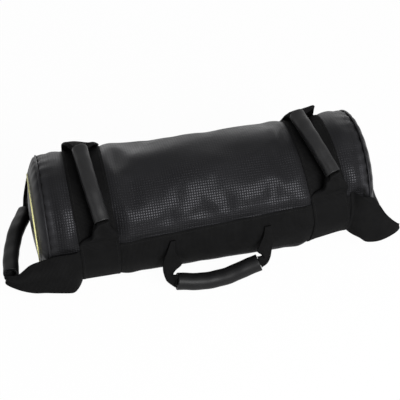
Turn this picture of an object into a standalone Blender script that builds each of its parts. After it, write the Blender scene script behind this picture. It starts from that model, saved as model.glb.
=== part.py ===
"""A cylindrical sandbag trainer, lying on the floor as it does after use.

A coated cloth barrel with two domed end panels holds three inner filler bags of sand. Two long webbing
bands run along the barrel, two girth bands go round it, and five soft handles grow out of the
webbing: one carry handle on the front, one short grip on each girth band and one loop at each end.
A long zip on the hidden lower back lets the filler bags in.

The frame is in metres: +X runs along the barrel to its right end, -Y is the front with the carry
handle, +Z is up. The origin is on the flattened underside, midway between the two end seams.
Angles round the barrel are counted in degrees from the front horizontal, upwards.
"""

import math

import bmesh
import bpy
import numpy as np
from mathutils import Matrix, Vector

# Barrel and its domed ends
BARREL_RADIUS = 0.110
SEAM_HALF_LENGTH = 0.276
SETTLE_DEPTH = 0.007
SHELL_WALL = 0.0015
DOME_DEPTH = 0.025
DOME_POWER_SHARE = 0.55
DOME_RING_SHARES = (0.45, 0.88, 0.97)
POLE_SHARE = 0.04

# Clearance between pieces that touch, how far a cutter runs past what it cuts, and the weld distance
GAP = 0.0003
OVERRUN = 0.005
WELD = 0.00001

# Sides of the round pieces, outside and inside the barrel
SIDES = 48
INNER_SIDES = 24

# Yellow ring on the left end panel and the tape that binds each end seam inside
END_RING_RADIUS = 0.080
END_RING_WIRE = 0.0013
BINDING_WIDTH = 0.0095
BINDING_THICKNESS = 0.0012

# Webbing: the long bands, and the girth bands. A girth band's middle is set back from the end seam, and
# its top leans to the left by its skew.
WEBBING = 0.0018
FOLDED_WEBBING = 0.0036
LONG_BAND_WIDTH = 0.100
FRONT_BAND_ANGLE = -11.2
BAND_TWIST = 15.7
GIRTH_WIDTH = 0.065
LEFT_GIRTH_SETBACK = 0.0825
LEFT_GIRTH_SKEW = 0.006
RIGHT_GIRTH_SETBACK = 0.0665
RIGHT_GIRTH_SKEW = 0.017
GROOVE_RAMP = 0.001

# Grips: a rubber sleeve on a core of rolled webbing
TOP_GRIP_RADIUS = 0.0132
END_GRIP_RADIUS = 0.0135
CARRY_GRIP_RADIUS = 0.0145
CORE_RADIUS = 0.0070
GRIP_SEAT = 0.0006
END_SPREAD_SHARE = 0.92

# Top handles. A place is its share of the girth band's width along the barrel, its height over the
# band in shares of the grip's radius, and its angle. A foot is an angle.
LEFT_TOP_SHARES = ((-0.146, 0.66, 94.8), (-0.046, 0.14, 62.3), (0.098, 0.66, 34.3))
RIGHT_TOP_SHARES = ((-0.500, 0.60, 101.3), (-0.318, 0.22, 69.4), (-0.038, 0.60, 43.7))
LEFT_TOP_FEET = (126, 16.5)
RIGHT_TOP_FEET = (132, 28.5)
FLARE_START_SHARE = 0.70
# A flare's row is its share of the way down, its height left, its spread and its share of the way along
FLARE_SHARES = (
    (0.30, 1.00, 0.55, 0.62),
    (0.52, 0.35, 0.80, 0.84),
    (0.76, 0.12, 0.92, 0.97),
    (1.00, 0.06, 0.97, 1.00),
)

# End handles, which swing about a line inside the end seam. A grip's place is its distance past the
# dome, its place across and its height, in barrel radii.
END_HINGE_SETBACK = 0.018
LEFT_HINGE_RISE = 0.030
RIGHT_HINGE_RISE = 0
FLAP_TILT_SHARE = 0.37
LEFT_END_GRIP_SHARES = (
    (0.270, -0.727, -0.376),
    (0.255, -0.455, -0.366),
    (0.208, -0.164, -0.363),
    (0.122, 0.145, -0.332),
    (0.023, 0.409, -0.354),
    (-0.064, 0.636, -0.380),
)
RIGHT_END_GRIP_SHARES = (
    (0.081, -0.764, -0.709),
    (0.072, -0.527, -0.691),
    (0.045, -0.255, -0.6),
    (0.004, 0.018, -0.436),
    (0.004, 0.255, -0.236),
)
# How far past its root a flap begins to leave the round of the barrel, and where it has left it
FRONT_FLAP_LEAVES = 0.003
FRONT_FLAP_FREE = 0.019
BACK_FLAP_LEAVES = 0.035
BACK_FLAP_FREE = 0.062
FLAP_STATIONS = 9
# A flap's row is its share of the way out to the grip, then in barrel radii the heights of its upper
# and lower edge and how far inwards it has curved
LEFT_FRONT_FLAP_SHARES = (
    (0, 0.459, -0.391, 0),
    (0.194, 0.405, -0.510, 0),
    (0.377, 0.346, -0.530, 0),
    (0.543, 0.233, -0.554, 0.018),
    (0.718, 0.085, -0.584, 0.04),
    (0.867, -0.187, -0.587, 0.10),
    (1.016, -0.327, -0.618, 0.145),
)
LEFT_BACK_FLAP_SHARES = (
    (0, 0.459, -0.391, 0),
    (0.30, 0.439, -0.443, 0),
    (0.62, 0.524, -0.385, 0),
    (0.80, 0.588, -0.121, 0.02),
    (0.95, 0.615, 0.215, 0.15),
)
RIGHT_FRONT_FLAP_SHARES = (
    (0, 0.466, -0.452, 0),
    (0.241, 0.448, -0.450, 0),
    (0.431, 0.406, -0.575, 0),
    (0.608, 0.212, -0.625, 0),
    (0.78, -0.011, -0.635, 0),
    (0.975, -0.218, -0.630, 0.03),
    (1.147, -0.375, -0.625, 0.065),
    (1.233, -0.48, -0.690, 0.13),
)
RIGHT_BACK_FLAP_SHARES = (
    (0, 0.466, -0.452, 0),
    (0.27, 0.455, -0.40, 0),
    (0.488, 0.365, -0.216, 0),
    (0.735, 0.332, -0.03, 0.178),
    (0.84, 0.323, 0.086, 0.468),
)

# Carry handle: its hinge line close over the front band, and its grip below that line. A grip's place is its
# share of the half length and of the drop.
CARRY_HINGE_HEIGHT = 0.010
CARRY_LEAN = 0.0102
CARRY_HALF_LENGTH = 0.0735
CARRY_MIDDLE_X = 0.0045
CARRY_DROP = 0.0992
CARRY_GRIP_SHARES = ((-1.0, 0.892), (-0.388, 0.984), (0.17, 0.962), (0.619, 0.855), (1.0, 0.761))
# An arm's row is its outer and its inner edge, each outwards from the grip's end and downwards
LEFT_ARM_SHARES = (
    ((0.071, -0.005), (-0.010, -0.005)),
    ((0.151, 0.222), (0.005, 0.202)),
    ((0.222, 0.423), (-0.071, 0.393)),
    ((0.232, 0.544), (-0.101, 0.524)),
    ((0.222, 0.685), (0.010, 0.625)),
    ((0.171, 0.867), (0.055, 0.716)),
)
RIGHT_ARM_SHARES = (
    ((0.202, -0.005), (0.091, -0.005)),
    ((0.232, 0.181), (0.066, 0.181)),
    ((0.242, 0.383), (-0.010, 0.403)),
    ((0.222, 0.524), (-0.040, 0.514)),
    ((0.202, 0.665), (0.030, 0.595)),
    ((0.151, 0.796), (0.045, 0.635)),
)

# Zip on the lower back, between the girth bands, with its slider and pull
ZIP_ANGLE = 222.0
ZIP_END_ROOM = 0.024
ZIP_SLOT = 0.010
TAPE_HALF_WIDTH = 0.016
TAPE_THICKNESS = 0.0007
TEETH_WIDTH = 0.0020
TEETH_HEIGHT = 0.0024
STOP_LENGTH = 0.004
SLIDER_LENGTH = 0.012
SLIDER_WIDTH = 0.0084
SLIDER_PLATE = 0.0020
EYE_RADIUS = 0.0018
PIN_RADIUS = 0.0006
PIN_CLEARANCE = 0.0002
EAR_WIDTH = 0.0012
PULL_WIDTH = 0.0036
PULL_LENGTH = 0.026
PULL_THICKNESS = 0.0012

# Filler bags and the sand in them
FILLER_CLEARANCE = 0.0004
FILLER_WALL = 0.0010
FILLER_SPACING = 0.004
FILLER_END_ROOM = 0.004
FILLER_ROUNDING = 0.018
NECK_RADIUS = 0.015
CLOSURE_RADIUS = 0.024
CLOSURE_THICKNESS = 0.0012
SAND_FILL_SHARE = 0.62

# Sizes that follow from the ones above
AXIS_HEIGHT = BARREL_RADIUS - SETTLE_DEPTH
LEFT_GIRTH_X = -(SEAM_HALF_LENGTH - LEFT_GIRTH_SETBACK)
RIGHT_GIRTH_X = SEAM_HALF_LENGTH - RIGHT_GIRTH_SETBACK
ZIP_MIDDLE_X = (LEFT_GIRTH_X + RIGHT_GIRTH_X) / 2
ZIP_LENGTH = RIGHT_GIRTH_X - LEFT_GIRTH_X - GIRTH_WIDTH - 2 * ZIP_END_ROOM
BAND_UNDER = WEBBING + GAP
GIRTH_OUTER = BARREL_RADIUS + GAP + WEBBING
OVER_LONG_BAND = BARREL_RADIUS + 2 * GAP + 2 * WEBBING
FLAP_SEAT = BARREL_RADIUS + 3 * GAP + WEBBING / 2
BAND_HALF_ANGLE = math.degrees(LONG_BAND_WIDTH / 2 / (BARREL_RADIUS + WEBBING))
STEP_ANGLE = 360 / SIDES
CHORD_DIP = BARREL_RADIUS * (1 - math.cos(math.pi / SIDES))
INNER_ROOM = BARREL_RADIUS - SHELL_WALL - GAP - CHORD_DIP
TAPE_RADIUS = math.sqrt(INNER_ROOM**2 - TAPE_HALF_WIDTH**2) - TAPE_THICKNESS
FILLER_RADIUS = TAPE_RADIUS - TEETH_HEIGHT / 2 - FILLER_CLEARANCE
CARRY_SEAT = math.sqrt((GIRTH_OUTER + GAP) ** 2 - CARRY_HINGE_HEIGHT**2)
CARRY_HINGE_Y = -(CARRY_SEAT + FOLDED_WEBBING / 2)

PVC = ("coated_cloth", (0.030, 0.030, 0.032), 0.42, 0.0)
WEB = ("nylon_webbing", (0.014, 0.014, 0.015), 0.85, 0.0)
RUBBER = ("grip_rubber", (0.045, 0.045, 0.048), 0.48, 0.0)
YELLOW = ("ring_yellow", (0.74, 0.74, 0.18), 0.45, 0.0)
TAPE = ("zip_tape", (0.012, 0.012, 0.013), 0.80, 0.0)
NYLON = ("zip_nylon", (0.020, 0.020, 0.022), 0.40, 0.0)
STEEL = ("zip_metal", (0.08, 0.08, 0.085), 0.35, 1.0)
LINER = ("filler_cloth", (0.10, 0.10, 0.11), 0.75, 0.0)
SAND = ("sand", (0.55, 0.45, 0.30), 0.95, 0.0)


def clear_scene():
    for obj in list(bpy.data.objects):
        bpy.data.objects.remove(obj, do_unlink=True)


def collection(name, shown=True):
    made = bpy.data.collections.new(name)
    made.hide_render = not shown
    bpy.context.scene.collection.children.link(made)
    return made


def finish(obj, look):
    """Give the object its own material, made from a look: name, colour, roughness and metallic."""
    name, colour, roughness, metallic = look
    made = bpy.data.materials.new(name + "_" + obj.name)
    made.use_nodes = True
    shader = made.node_tree.nodes["Principled BSDF"]
    shader.inputs["Base Color"].default_value = (*colour, 1)
    shader.inputs["Roughness"].default_value = roughness
    shader.inputs["Metallic"].default_value = metallic
    obj.data.materials.clear()
    obj.data.materials.append(made)


def add_mesh(name, points, faces, look):
    """One mesh object from points and faces, its normals turned outwards."""
    mesh = bpy.data.meshes.new(name)
    mesh.from_pydata([tuple(point) for point in points], [], faces)
    work = bmesh.new()
    work.from_mesh(mesh)
    bmesh.ops.recalc_face_normals(work, faces=work.faces)
    work.to_mesh(mesh)
    work.free()
    mesh.shade_smooth()
    mesh.set_sharp_from_angle(angle=math.radians(35))
    obj = bpy.data.objects.new(name, mesh)
    PARTS.objects.link(obj)
    finish(obj, look)
    return obj


def loft(name, rings, look, looped=False):
    """A skin through rings of equal length: capped at its two ends, or joined end to end."""
    count = len(rings[0])
    points = np.concatenate(rings)
    faces = []
    for row in range(len(rings) - (not looped)):
        here = row * count
        there = (row + 1) % len(rings) * count
        for side in range(count):
            after = (side + 1) % count
            faces.append((here + side, here + after, there + after, there + side))
    if not looped:
        faces.append(tuple(range(count)))
        faces.append(tuple(range(len(points) - count, len(points))))
    return add_mesh(name, points, faces, look)


def on_barrel(x, radius, angle):
    """The point at this angle and distance from the barrel's axis."""
    turn = math.radians(angle)
    return np.array((x, -radius * math.cos(turn), AXIS_HEIGHT + radius * math.sin(turn)))


def round_section(x, radius, floor, ceiling=None, sides=SIDES):
    """A circle round the barrel's axis, pressed flat at the floor and, for sand, cut level on top."""
    turn = np.radians(np.arange(sides) * 360 / sides)
    height = np.maximum(AXIS_HEIGHT + radius * np.sin(turn), floor)
    if ceiling is not None:
        height = np.minimum(height, ceiling)
    return np.stack([np.full(sides, x), -radius * np.cos(turn), height], axis=1)


def smooth(controls, count):
    """Points at even steps along a Catmull-Rom curve through the control points, of any width."""
    given = np.asarray(controls, float)
    knots = np.concatenate([[2 * given[0] - given[1]], given, [2 * given[-1] - given[-2]]])
    where = np.linspace(0, len(given) - 1, count)
    piece = np.minimum(where.astype(int), len(given) - 2)
    part = (where - piece)[:, None]
    before, start, end, after = (knots[piece + shift] for shift in range(4))
    bend = 2 * before - 5 * start + 4 * end - after
    swing = 3 * start - before - 3 * end + after
    return (2 * start + part * (end - before) + part**2 * bend + part**3 * swing) / 2


def unit(vector):
    return np.asarray(vector, float) / np.linalg.norm(vector)


def strap(name, first_edge, second_edge, thickness, look, last_way=None):
    """A strap between two edges, with chamfered sides; last_way is the direction it ends in."""
    first_edge = np.asarray(first_edge, float)
    second_edge = np.asarray(second_edge, float)
    thickness = np.broadcast_to(thickness, len(first_edge))
    centre = (first_edge + second_edge) / 2
    along = np.gradient(centre, axis=0)
    if last_way is not None:
        along[-1] = last_way
    half = (first_edge - second_edge) / 2
    width = np.linalg.norm(half, axis=1, keepdims=True)
    across = half / width
    out = np.cross(along, across)
    out /= np.linalg.norm(out, axis=1, keepdims=True)
    thin = thickness[:, None] / 2
    wide = width - thin
    level = np.zeros_like(thin)
    corners = ((-wide, -thin), (wide, -thin), (width, level), (wide, thin), (-wide, thin), (-width, level))
    rows = np.stack([centre + a * across + b * out for a, b in corners], axis=1)
    return loft(name, list(rows), look)


def wide_strap(name, sheet, thickness, look, first_way, last_way):
    """A strap on both sides of its middle sheet, given as rows along it of stations across it."""
    along = np.gradient(sheet, axis=0)
    along[0] = first_way
    along[-1] = last_way
    out = np.cross(along, np.gradient(sheet, axis=1))
    out /= np.linalg.norm(out, axis=2, keepdims=True)
    half = out * thickness[:, None, None] / 2
    rings = np.concatenate([sheet + half, (sheet - half)[:, ::-1]], axis=1)
    return loft(name, list(rings), look)


def rod(name, points, radius, sides_setting, look=None):
    """A bent rod through the points: a bevelled curve, made a mesh so that it can be cut."""
    curve = bpy.data.curves.new(name, "CURVE")
    curve.dimensions = "3D"
    curve.bevel_depth = radius
    curve.bevel_resolution = sides_setting
    curve.use_fill_caps = True
    spline = curve.splines.new("POLY")
    spline.points.add(len(points) - 1)
    for knot, point in zip(spline.points, points):
        knot.co = (*point, 1)
    guide = bpy.data.objects.new(name + "_guide", curve)
    GUIDES.objects.link(guide)
    bpy.context.view_layer.update()
    graph = bpy.context.evaluated_depsgraph_get()
    mesh = bpy.data.meshes.new_from_object(guide.evaluated_get(graph))
    bpy.data.objects.remove(guide, do_unlink=True)
    work = bmesh.new()
    work.from_mesh(mesh)
    bmesh.ops.remove_doubles(work, verts=work.verts, dist=WELD)
    work.to_mesh(mesh)
    work.free()
    mesh.shade_smooth()
    mesh.set_sharp_from_angle(angle=math.radians(35))
    obj = bpy.data.objects.new(name, mesh)
    (PARTS if look else GUIDES).objects.link(obj)
    if look:
        finish(obj, look)
    else:
        hide(obj)
    return obj


def hide(obj):
    obj.hide_render = True
    obj.display_type = "WIRE"


def boolean(obj, other, operation):
    change = obj.modifiers.new(operation.lower() + "_" + other.name, "BOOLEAN")
    change.operation = operation
    change.object = other
    hide(other)


def block(name, size, centre, turn, look=None):
    """A box of this size, turned about X by the angle and placed by its centre."""
    bpy.ops.mesh.primitive_cube_add(size=1, location=centre, rotation=(math.radians(turn), 0, 0))
    obj = bpy.context.object
    obj.name = name
    obj.data.transform(Matrix.Diagonal((*size, 1)))
    return keep(obj, look)


def keep(obj, look):
    for group in list(obj.users_collection):
        group.objects.unlink(obj)
    (PARTS if look else GUIDES).objects.link(obj)
    if look:
        finish(obj, look)
    else:
        hide(obj)
    return obj


def hang_on(name, place, pieces):
    """Parent the pieces to an empty on their joint's axis, with their places unchanged."""
    empty = bpy.data.objects.new(name, None)
    empty.location = place
    empty.empty_display_size = GIRTH_WIDTH / 4
    PARTS.objects.link(empty)
    bpy.context.view_layer.update()
    for piece in pieces:
        piece.parent = empty
        piece.matrix_parent_inverse = empty.matrix_world.inverted()


# Barrel


def floor_stations():
    """Stations along the barrel with the height of its underside: it rises over each girth band."""
    stations = [(-SEAM_HALF_LENGTH, 0.0)]
    for middle in (LEFT_GIRTH_X, RIGHT_GIRTH_X):
        edge = GIRTH_WIDTH / 2 + GAP
        stations.append((middle - edge - GROOVE_RAMP, 0.0))
        stations.append((middle - edge, BAND_UNDER))
        stations.append((middle + edge, BAND_UNDER))
        stations.append((middle + edge + GROOVE_RAMP, 0.0))
    stations.append((SEAM_HALF_LENGTH, 0.0))
    return stations


def barrel_shell():
    inner = BARREL_RADIUS - SHELL_WALL
    rings = [round_section(x, BARREL_RADIUS, floor) for x, floor in floor_stations()]
    rings += [round_section(x, inner, floor + SHELL_WALL) for x, floor in reversed(floor_stations())]
    shell = loft("barrel_shell", rings, PVC, looped=True)
    slot_size = (ZIP_LENGTH + 2 * STOP_LENGTH, ZIP_SLOT, 2 * OVERRUN)
    slot = block("zip_slot", slot_size, on_barrel(ZIP_MIDDLE_X, BARREL_RADIUS, ZIP_ANGLE), 90 - ZIP_ANGLE)
    boolean(shell, slot, "DIFFERENCE")


def dome_rise(share):
    """How far the end panel stands out of its seam, at this share of its radius."""
    return max(1 - share * share, 0) ** DOME_POWER_SHARE


def end_panel(side, label):
    ring_share = END_RING_RADIUS / BARREL_RADIUS
    shares = sorted((POLE_SHARE, *DOME_RING_SHARES, ring_share, 1))
    seam = SEAM_HALF_LENGTH + GAP
    inner_radius = BARREL_RADIUS - SHELL_WALL
    inner_depth = DOME_DEPTH - SHELL_WALL
    rings = [
        round_section(side * (seam + DOME_DEPTH * dome_rise(share)), BARREL_RADIUS * share, 0)
        for share in shares
    ]
    rings += [
        round_section(side * (seam + inner_depth * dome_rise(share)), inner_radius * share, SHELL_WALL)
        for share in reversed(shares)
    ]
    loft(label + "_end_panel", rings, PVC)
    binding(side, label)


def end_ring(side, label):
    """The thin yellow ring that lies on an end panel."""
    stand = DOME_DEPTH * dome_rise(END_RING_RADIUS / BARREL_RADIUS) + END_RING_WIRE + 2 * GAP
    bpy.ops.mesh.primitive_torus_add(
        major_radius=END_RING_RADIUS,
        minor_radius=END_RING_WIRE,
        major_segments=SIDES,
        minor_segments=5,
        location=(side * (SEAM_HALF_LENGTH + GAP + stand), 0, AXIS_HEIGHT),
        rotation=(0, math.pi / 2, 0),
    )
    ring = bpy.context.object
    ring.name = label + "_end_ring"
    ring.data.shade_smooth()
    keep(ring, YELLOW)


def binding(side, label):
    """The tape that binds the raw edges of the end seam, inside the barrel."""
    outer = BARREL_RADIUS - SHELL_WALL - GAP
    inner = outer - BINDING_THICKNESS
    floor = SHELL_WALL + GAP
    near = side * (SEAM_HALF_LENGTH - GAP)
    far = side * (SEAM_HALF_LENGTH - GAP - BINDING_WIDTH)
    rings = [
        round_section(near, outer, floor),
        round_section(far, outer, floor),
        round_section(far, inner, floor + BINDING_THICKNESS),
        round_section(near, inner, floor + BINDING_THICKNESS),
    ]
    loft(label + "_seam_binding", rings, TAPE, looped=True)


# Webbing bands


def band_angle(x, own_angle):
    """The angle round the barrel of a line sewn along it, which the resting bag twists a little."""
    return FRONT_BAND_ANGLE + own_angle + BAND_TWIST * x / (2 * SEAM_HALF_LENGTH)


def girth_edge(side):
    """Where the long band ends: at the outer edge of this side's girth band."""
    middle = RIGHT_GIRTH_X if side > 0 else LEFT_GIRTH_X
    return middle + side * GIRTH_WIDTH / 2


def long_band(name, own_angle):
    """A flat band sewn along the barrel, made as an open sheet with its thickness added."""
    lengths, widths = 8, 8
    x, across = np.meshgrid(
        np.linspace(girth_edge(-1), girth_edge(1), lengths + 1),
        np.linspace(-BAND_HALF_ANGLE, BAND_HALF_ANGLE, widths + 1),
        indexing="ij",
    )
    turn = np.radians(band_angle(x, own_angle) + across)
    radius = BARREL_RADIUS + GAP
    points = np.stack([x, -radius * np.cos(turn), AXIS_HEIGHT + radius * np.sin(turn)], axis=2)
    row = widths + 1
    faces = [
        (i * row + j, i * row + j + 1, (i + 1) * row + j + 1, (i + 1) * row + j)
        for i in range(lengths)
        for j in range(widths)
    ]
    band = add_mesh(name, points.reshape(-1, 3), faces, WEB)
    outwards = band.data.polygons[0].normal.dot(Vector(on_barrel(0, 1, band_angle(0, own_angle))))
    solid = band.modifiers.new("thickness", "SOLIDIFY")
    solid.thickness = WEBBING
    solid.offset = 1 if outwards > 0 else -1
    solid.use_even_offset = True


def crosses_long_band(x, angle):
    """Whether a girth band has a long band under it here, counted to the next side of its ring."""
    for own_angle in (0, 180):
        away = (angle - band_angle(x, own_angle) + 180) % 360 - 180
        if abs(away) < BAND_HALF_ANGLE + STEP_ANGLE:
            return True
    return False


def girth_radius(middle, angle):
    return OVER_LONG_BAND - WEBBING if crosses_long_band(middle, angle) else BARREL_RADIUS + GAP


def girth_top(middle, angle):
    """The outer face of a girth band at this angle: the higher of its facet's two corners."""
    corners = (math.floor(angle / STEP_ANGLE) * STEP_ANGLE, math.ceil(angle / STEP_ANGLE) * STEP_ANGLE)
    return WEBBING + max(girth_radius(middle, corner) for corner in corners)


def girth_band(name, middle, skew):
    """A ring of webbing that steps over the long bands and lies a little askew on top."""
    rings = []
    edges = ((-1, 0), (1, 0), (1, WEBBING), (-1, WEBBING))
    for across, thick in edges:
        ring = []
        for side in range(SIDES):
            angle = side * STEP_ANGLE
            lean = skew * max(0, math.sin(math.radians(angle)))
            x = middle - lean + across * GIRTH_WIDTH / 2
            point = on_barrel(x, girth_radius(middle, angle) + thick, angle)
            point[2] = max(point[2], WEBBING - thick)
            ring.append(point)
        rings.append(np.array(ring))
    loft(name, rings, WEB, looped=True)


# Handles


def grip(label, path, radius):
    """A rubber sleeve, bored for the rolled webbing core that runs through it."""
    sleeve = rod(label + "_grip", path, radius, 4, RUBBER)
    before = path[0] - unit(path[1] - path[0]) * OVERRUN
    after = path[-1] + unit(path[-1] - path[-2]) * OVERRUN
    bore = rod(label + "_bore", [before, *path[1:-1], after], CORE_RADIUS + GAP, 2)
    boolean(sleeve, bore, "DIFFERENCE")
    core = rod(label + "_webbing_core", path, CORE_RADIUS, 2, WEB)
    return [sleeve, core]


def grip_end(path, at_end):
    """The point just off the sleeve's end face and the direction that points out of it."""
    if at_end:
        way = unit(path[-1] - path[-2])
        return path[-1] + way * GRIP_SEAT, way
    way = unit(path[0] - path[1])
    return path[0] + way * GRIP_SEAT, way


def top_flare(name, path, at_end, middle, foot_angle, foot_x):
    """Webbing that runs from the grip's end down to the girth band and lies flat along it."""
    start, way = grip_end(path, at_end)
    turn = math.degrees(math.atan2(start[2] - AXIS_HEIGHT, -start[1]))
    step = foot_angle - turn
    seat = GAP + FOLDED_WEBBING / 2
    lift = np.linalg.norm(start[1:] - (0, AXIS_HEIGHT)) - GIRTH_OUTER - seat
    centres = [start]
    halves = [FLARE_START_SHARE * TOP_GRIP_RADIUS]
    for turned, raised, spread, moved in FLARE_SHARES:
        angle = turn + step * turned
        x = start[0] + (foot_x - start[0]) * moved
        high = girth_top(middle, angle) + seat + lift * raised * (1 - turned)
        centres.append(on_barrel(x, high, angle))
        halves.append(GIRTH_WIDTH / 2 * spread)
    aside = np.outer(halves, (1, 0, 0))
    aside[0] = halves[0] * unit(np.array((1, 0, 0)) - way * way[0])
    thickness = [TOP_GRIP_RADIUS, *[FOLDED_WEBBING] * len(FLARE_SHARES)]
    table = smooth(np.column_stack([centres + aside, centres - aside, thickness]), 9)[::-1]
    return strap(name, table[:, :3], table[:, 3:6], table[:, 6], WEB, -way)


def top_handle(label, middle, skew, shares, feet):
    """A short grip over the girth band; shares are its back end, middle and front end."""
    over_band = GIRTH_OUTER + TOP_GRIP_RADIUS
    places = [
        on_barrel(middle + along * GIRTH_WIDTH, over_band + high * TOP_GRIP_RADIUS, angle)
        for along, high, angle in shares
    ]
    path = smooth(places, 7)
    pieces = grip(label, path, TOP_GRIP_RADIUS)
    pieces.append(top_flare(label + "_back_flare", path, False, middle, feet[0], middle - skew))
    pieces.append(top_flare(label + "_front_flare", path, True, middle, feet[1], middle))
    hang_on(label + "_lift", path[len(path) // 2], pieces)


def end_place(side, out_share, y_share, height_share):
    """A point off an end panel: its distance past the dome and its place across, in barrel radii."""
    x = SEAM_HALF_LENGTH + DOME_DEPTH + END_GRIP_RADIUS + 2 * GAP + out_share * BARREL_RADIUS
    return np.array((side * x, y_share * BARREL_RADIUS, AXIS_HEIGHT + height_share * BARREL_RADIUS))


def flap_line(tilt, height):
    """How far to the front a flap stands at this height over the axis: it leaves the barrel flat."""
    turn = math.radians(tilt)
    off = BARREL_RADIUS + WEBBING
    return (off - height * math.sin(turn)) / math.cos(turn)


def flap_root(side, front):
    """Where a flap starts: clear of the girth band, which leans out to the left over the long bands."""
    edge = girth_edge(side)
    own_angle = 0 if front > 0 else 180
    highest = band_angle(edge, own_angle) + front * (BAND_HALF_ANGLE + STEP_ANGLE)
    lean = LEFT_GIRTH_SKEW * math.sin(math.radians(highest)) if side < 0 else 0
    return edge - lean + side * GAP


def laid_round(sheet, front, root):
    """Draw the sheet in to the round of the barrel near its root; it comes free on the way out."""
    leaves, free = (
        (FRONT_FLAP_LEAVES, FRONT_FLAP_FREE) if front > 0 else (BACK_FLAP_LEAVES, BACK_FLAP_FREE)
    )
    away = np.clip((np.abs(sheet[..., 0] - root) - leaves) / (free - leaves), 0, 1)
    free_share = away * away * (3 - 2 * away)
    level = sheet[..., 2] - AXIS_HEIGHT
    barrel_y = -front * np.sqrt(np.maximum(FLAP_SEAT**2 - level**2, 0))
    laid = sheet.copy()
    laid[..., 1] = barrel_y + (sheet[..., 1] - barrel_y) * free_share
    return laid


def flap(name, side, front, run, path, at_end):
    """Webbing from the long band's end, over the end of the barrel, narrowing into the grip's end.

    run holds, for each place, its share of the way out to the grip, then the heights of the upper
    and the lower edge and how far inwards it has curved, in barrel radii.
    """
    root = flap_root(side, front)
    centre = BARREL_RADIUS * math.sin(math.radians(band_angle(root, 0)))
    tilt = FLAP_TILT_SHARE * band_angle(root, 0)
    end, way = grip_end(path, at_end)
    first, second = [], []
    for share, upper, lower, inwards in run:
        x = root + (end[0] - root) * share
        level = centre * (1 - share)
        for edge, height in ((first, upper), (second, lower)):
            rise = height * BARREL_RADIUS + level
            y = flap_line(tilt, rise) - inwards * BARREL_RADIUS
            edge.append((x, -front * y, AXIS_HEIGHT + front * rise))
    up = unit(np.array((0, 0, 1.0)) - way * way[2]) * front
    first.append(end + up * END_GRIP_RADIUS * END_SPREAD_SHARE)
    second.append(end - up * END_GRIP_RADIUS * END_SPREAD_SHARE)
    thickness = [WEBBING] * len(run) + [2 * FOLDED_WEBBING]
    table = smooth(np.column_stack([first, second, thickness]), 3 * len(run) + 1)
    down = np.linspace(0, 1, FLAP_STATIONS)[:, None]
    flat = table[:, None, :3] * (1 - down) + table[:, None, 3:6] * down
    sheet = laid_round(flat, front, root)
    return wide_strap(name, sheet, table[:, 6], WEB, (side, 0, 0), -way)


def end_handle(side, label, hinge_rise, grip_shares, front_shares, back_shares):
    """A loop over the end of the barrel: a grip between a front and a back flap of webbing."""
    path = smooth([end_place(side, *place) for place in grip_shares], 9)
    pieces = grip(label, path, END_GRIP_RADIUS)
    pieces.append(flap(label + "_front_flap", side, 1, front_shares, path, False))
    pieces.append(flap(label + "_back_flap", side, -1, back_shares, path, True))
    hinge = (side * (SEAM_HALF_LENGTH - END_HINGE_SETBACK), 0, AXIS_HEIGHT + hinge_rise)
    hang_on(label + "_hinge", hinge, pieces)


def carry_place(out, below):
    """A point of the carry handle: how far along the barrel it is, and how far under its hinge."""
    lean = CARRY_LEAN * below / CARRY_DROP
    return np.array((out, CARRY_HINGE_Y - lean, AXIS_HEIGHT + CARRY_HINGE_HEIGHT - below))


def carry_arm(name, side, table_shares, path, at_end):
    """Folded webbing from the band's upper edge down to the end of the hanging grip."""
    end, way = grip_end(path, at_end)
    grip_x = CARRY_MIDDLE_X + side * CARRY_HALF_LENGTH
    edges = [
        [carry_place(grip_x + side * out * CARRY_DROP, below * CARRY_DROP) for out, below in edge]
        for edge in zip(*table_shares)
    ]
    down = unit(np.array((0, 0, -1.0)) + way * way[2])
    outer = np.array([*edges[0], end + down * CARRY_GRIP_RADIUS * END_SPREAD_SHARE])
    inner = np.array([*edges[1], end - down * CARRY_GRIP_RADIUS * END_SPREAD_SHARE])
    thickness = [FOLDED_WEBBING] * (len(outer) - 1) + [2 * FOLDED_WEBBING]
    table = smooth(np.column_stack([outer, inner, thickness]), 3 * len(outer) - 2)
    return strap(name, table[:, :3], table[:, 3:6], table[:, 6], WEB, -way)


def carry_handle():
    places = [
        carry_place(CARRY_MIDDLE_X + CARRY_HALF_LENGTH * out, CARRY_DROP * below)
        for out, below in CARRY_GRIP_SHARES
    ]
    path = smooth(places, 9)
    pieces = grip("carry_handle", path, CARRY_GRIP_RADIUS)
    pieces.append(carry_arm("carry_handle_left_arm", -1, LEFT_ARM_SHARES, path, False))
    pieces.append(carry_arm("carry_handle_right_arm", 1, RIGHT_ARM_SHARES, path, True))
    hang_on("carry_handle_hinge", carry_place(CARRY_MIDDLE_X, 0), pieces)


# Zip


def zip_place(x, radius, aside):
    """A point by the zip: its distance from the barrel's axis line and its distance aside."""
    turn = math.radians(ZIP_ANGLE)
    out = np.array((0, -math.cos(turn), math.sin(turn)))
    up = np.array((0, math.sin(turn), math.cos(turn)))
    return np.array((x, 0, AXIS_HEIGHT)) + out * radius + up * aside


def pin(name, length, radius, place, look=None):
    """A small round rod across the zip."""
    bpy.ops.mesh.primitive_cylinder_add(
        vertices=16, radius=radius, depth=length, location=place, rotation=(math.radians(-ZIP_ANGLE), 0, 0)
    )
    bpy.context.object.name = name
    return keep(bpy.context.object, look)


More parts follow.
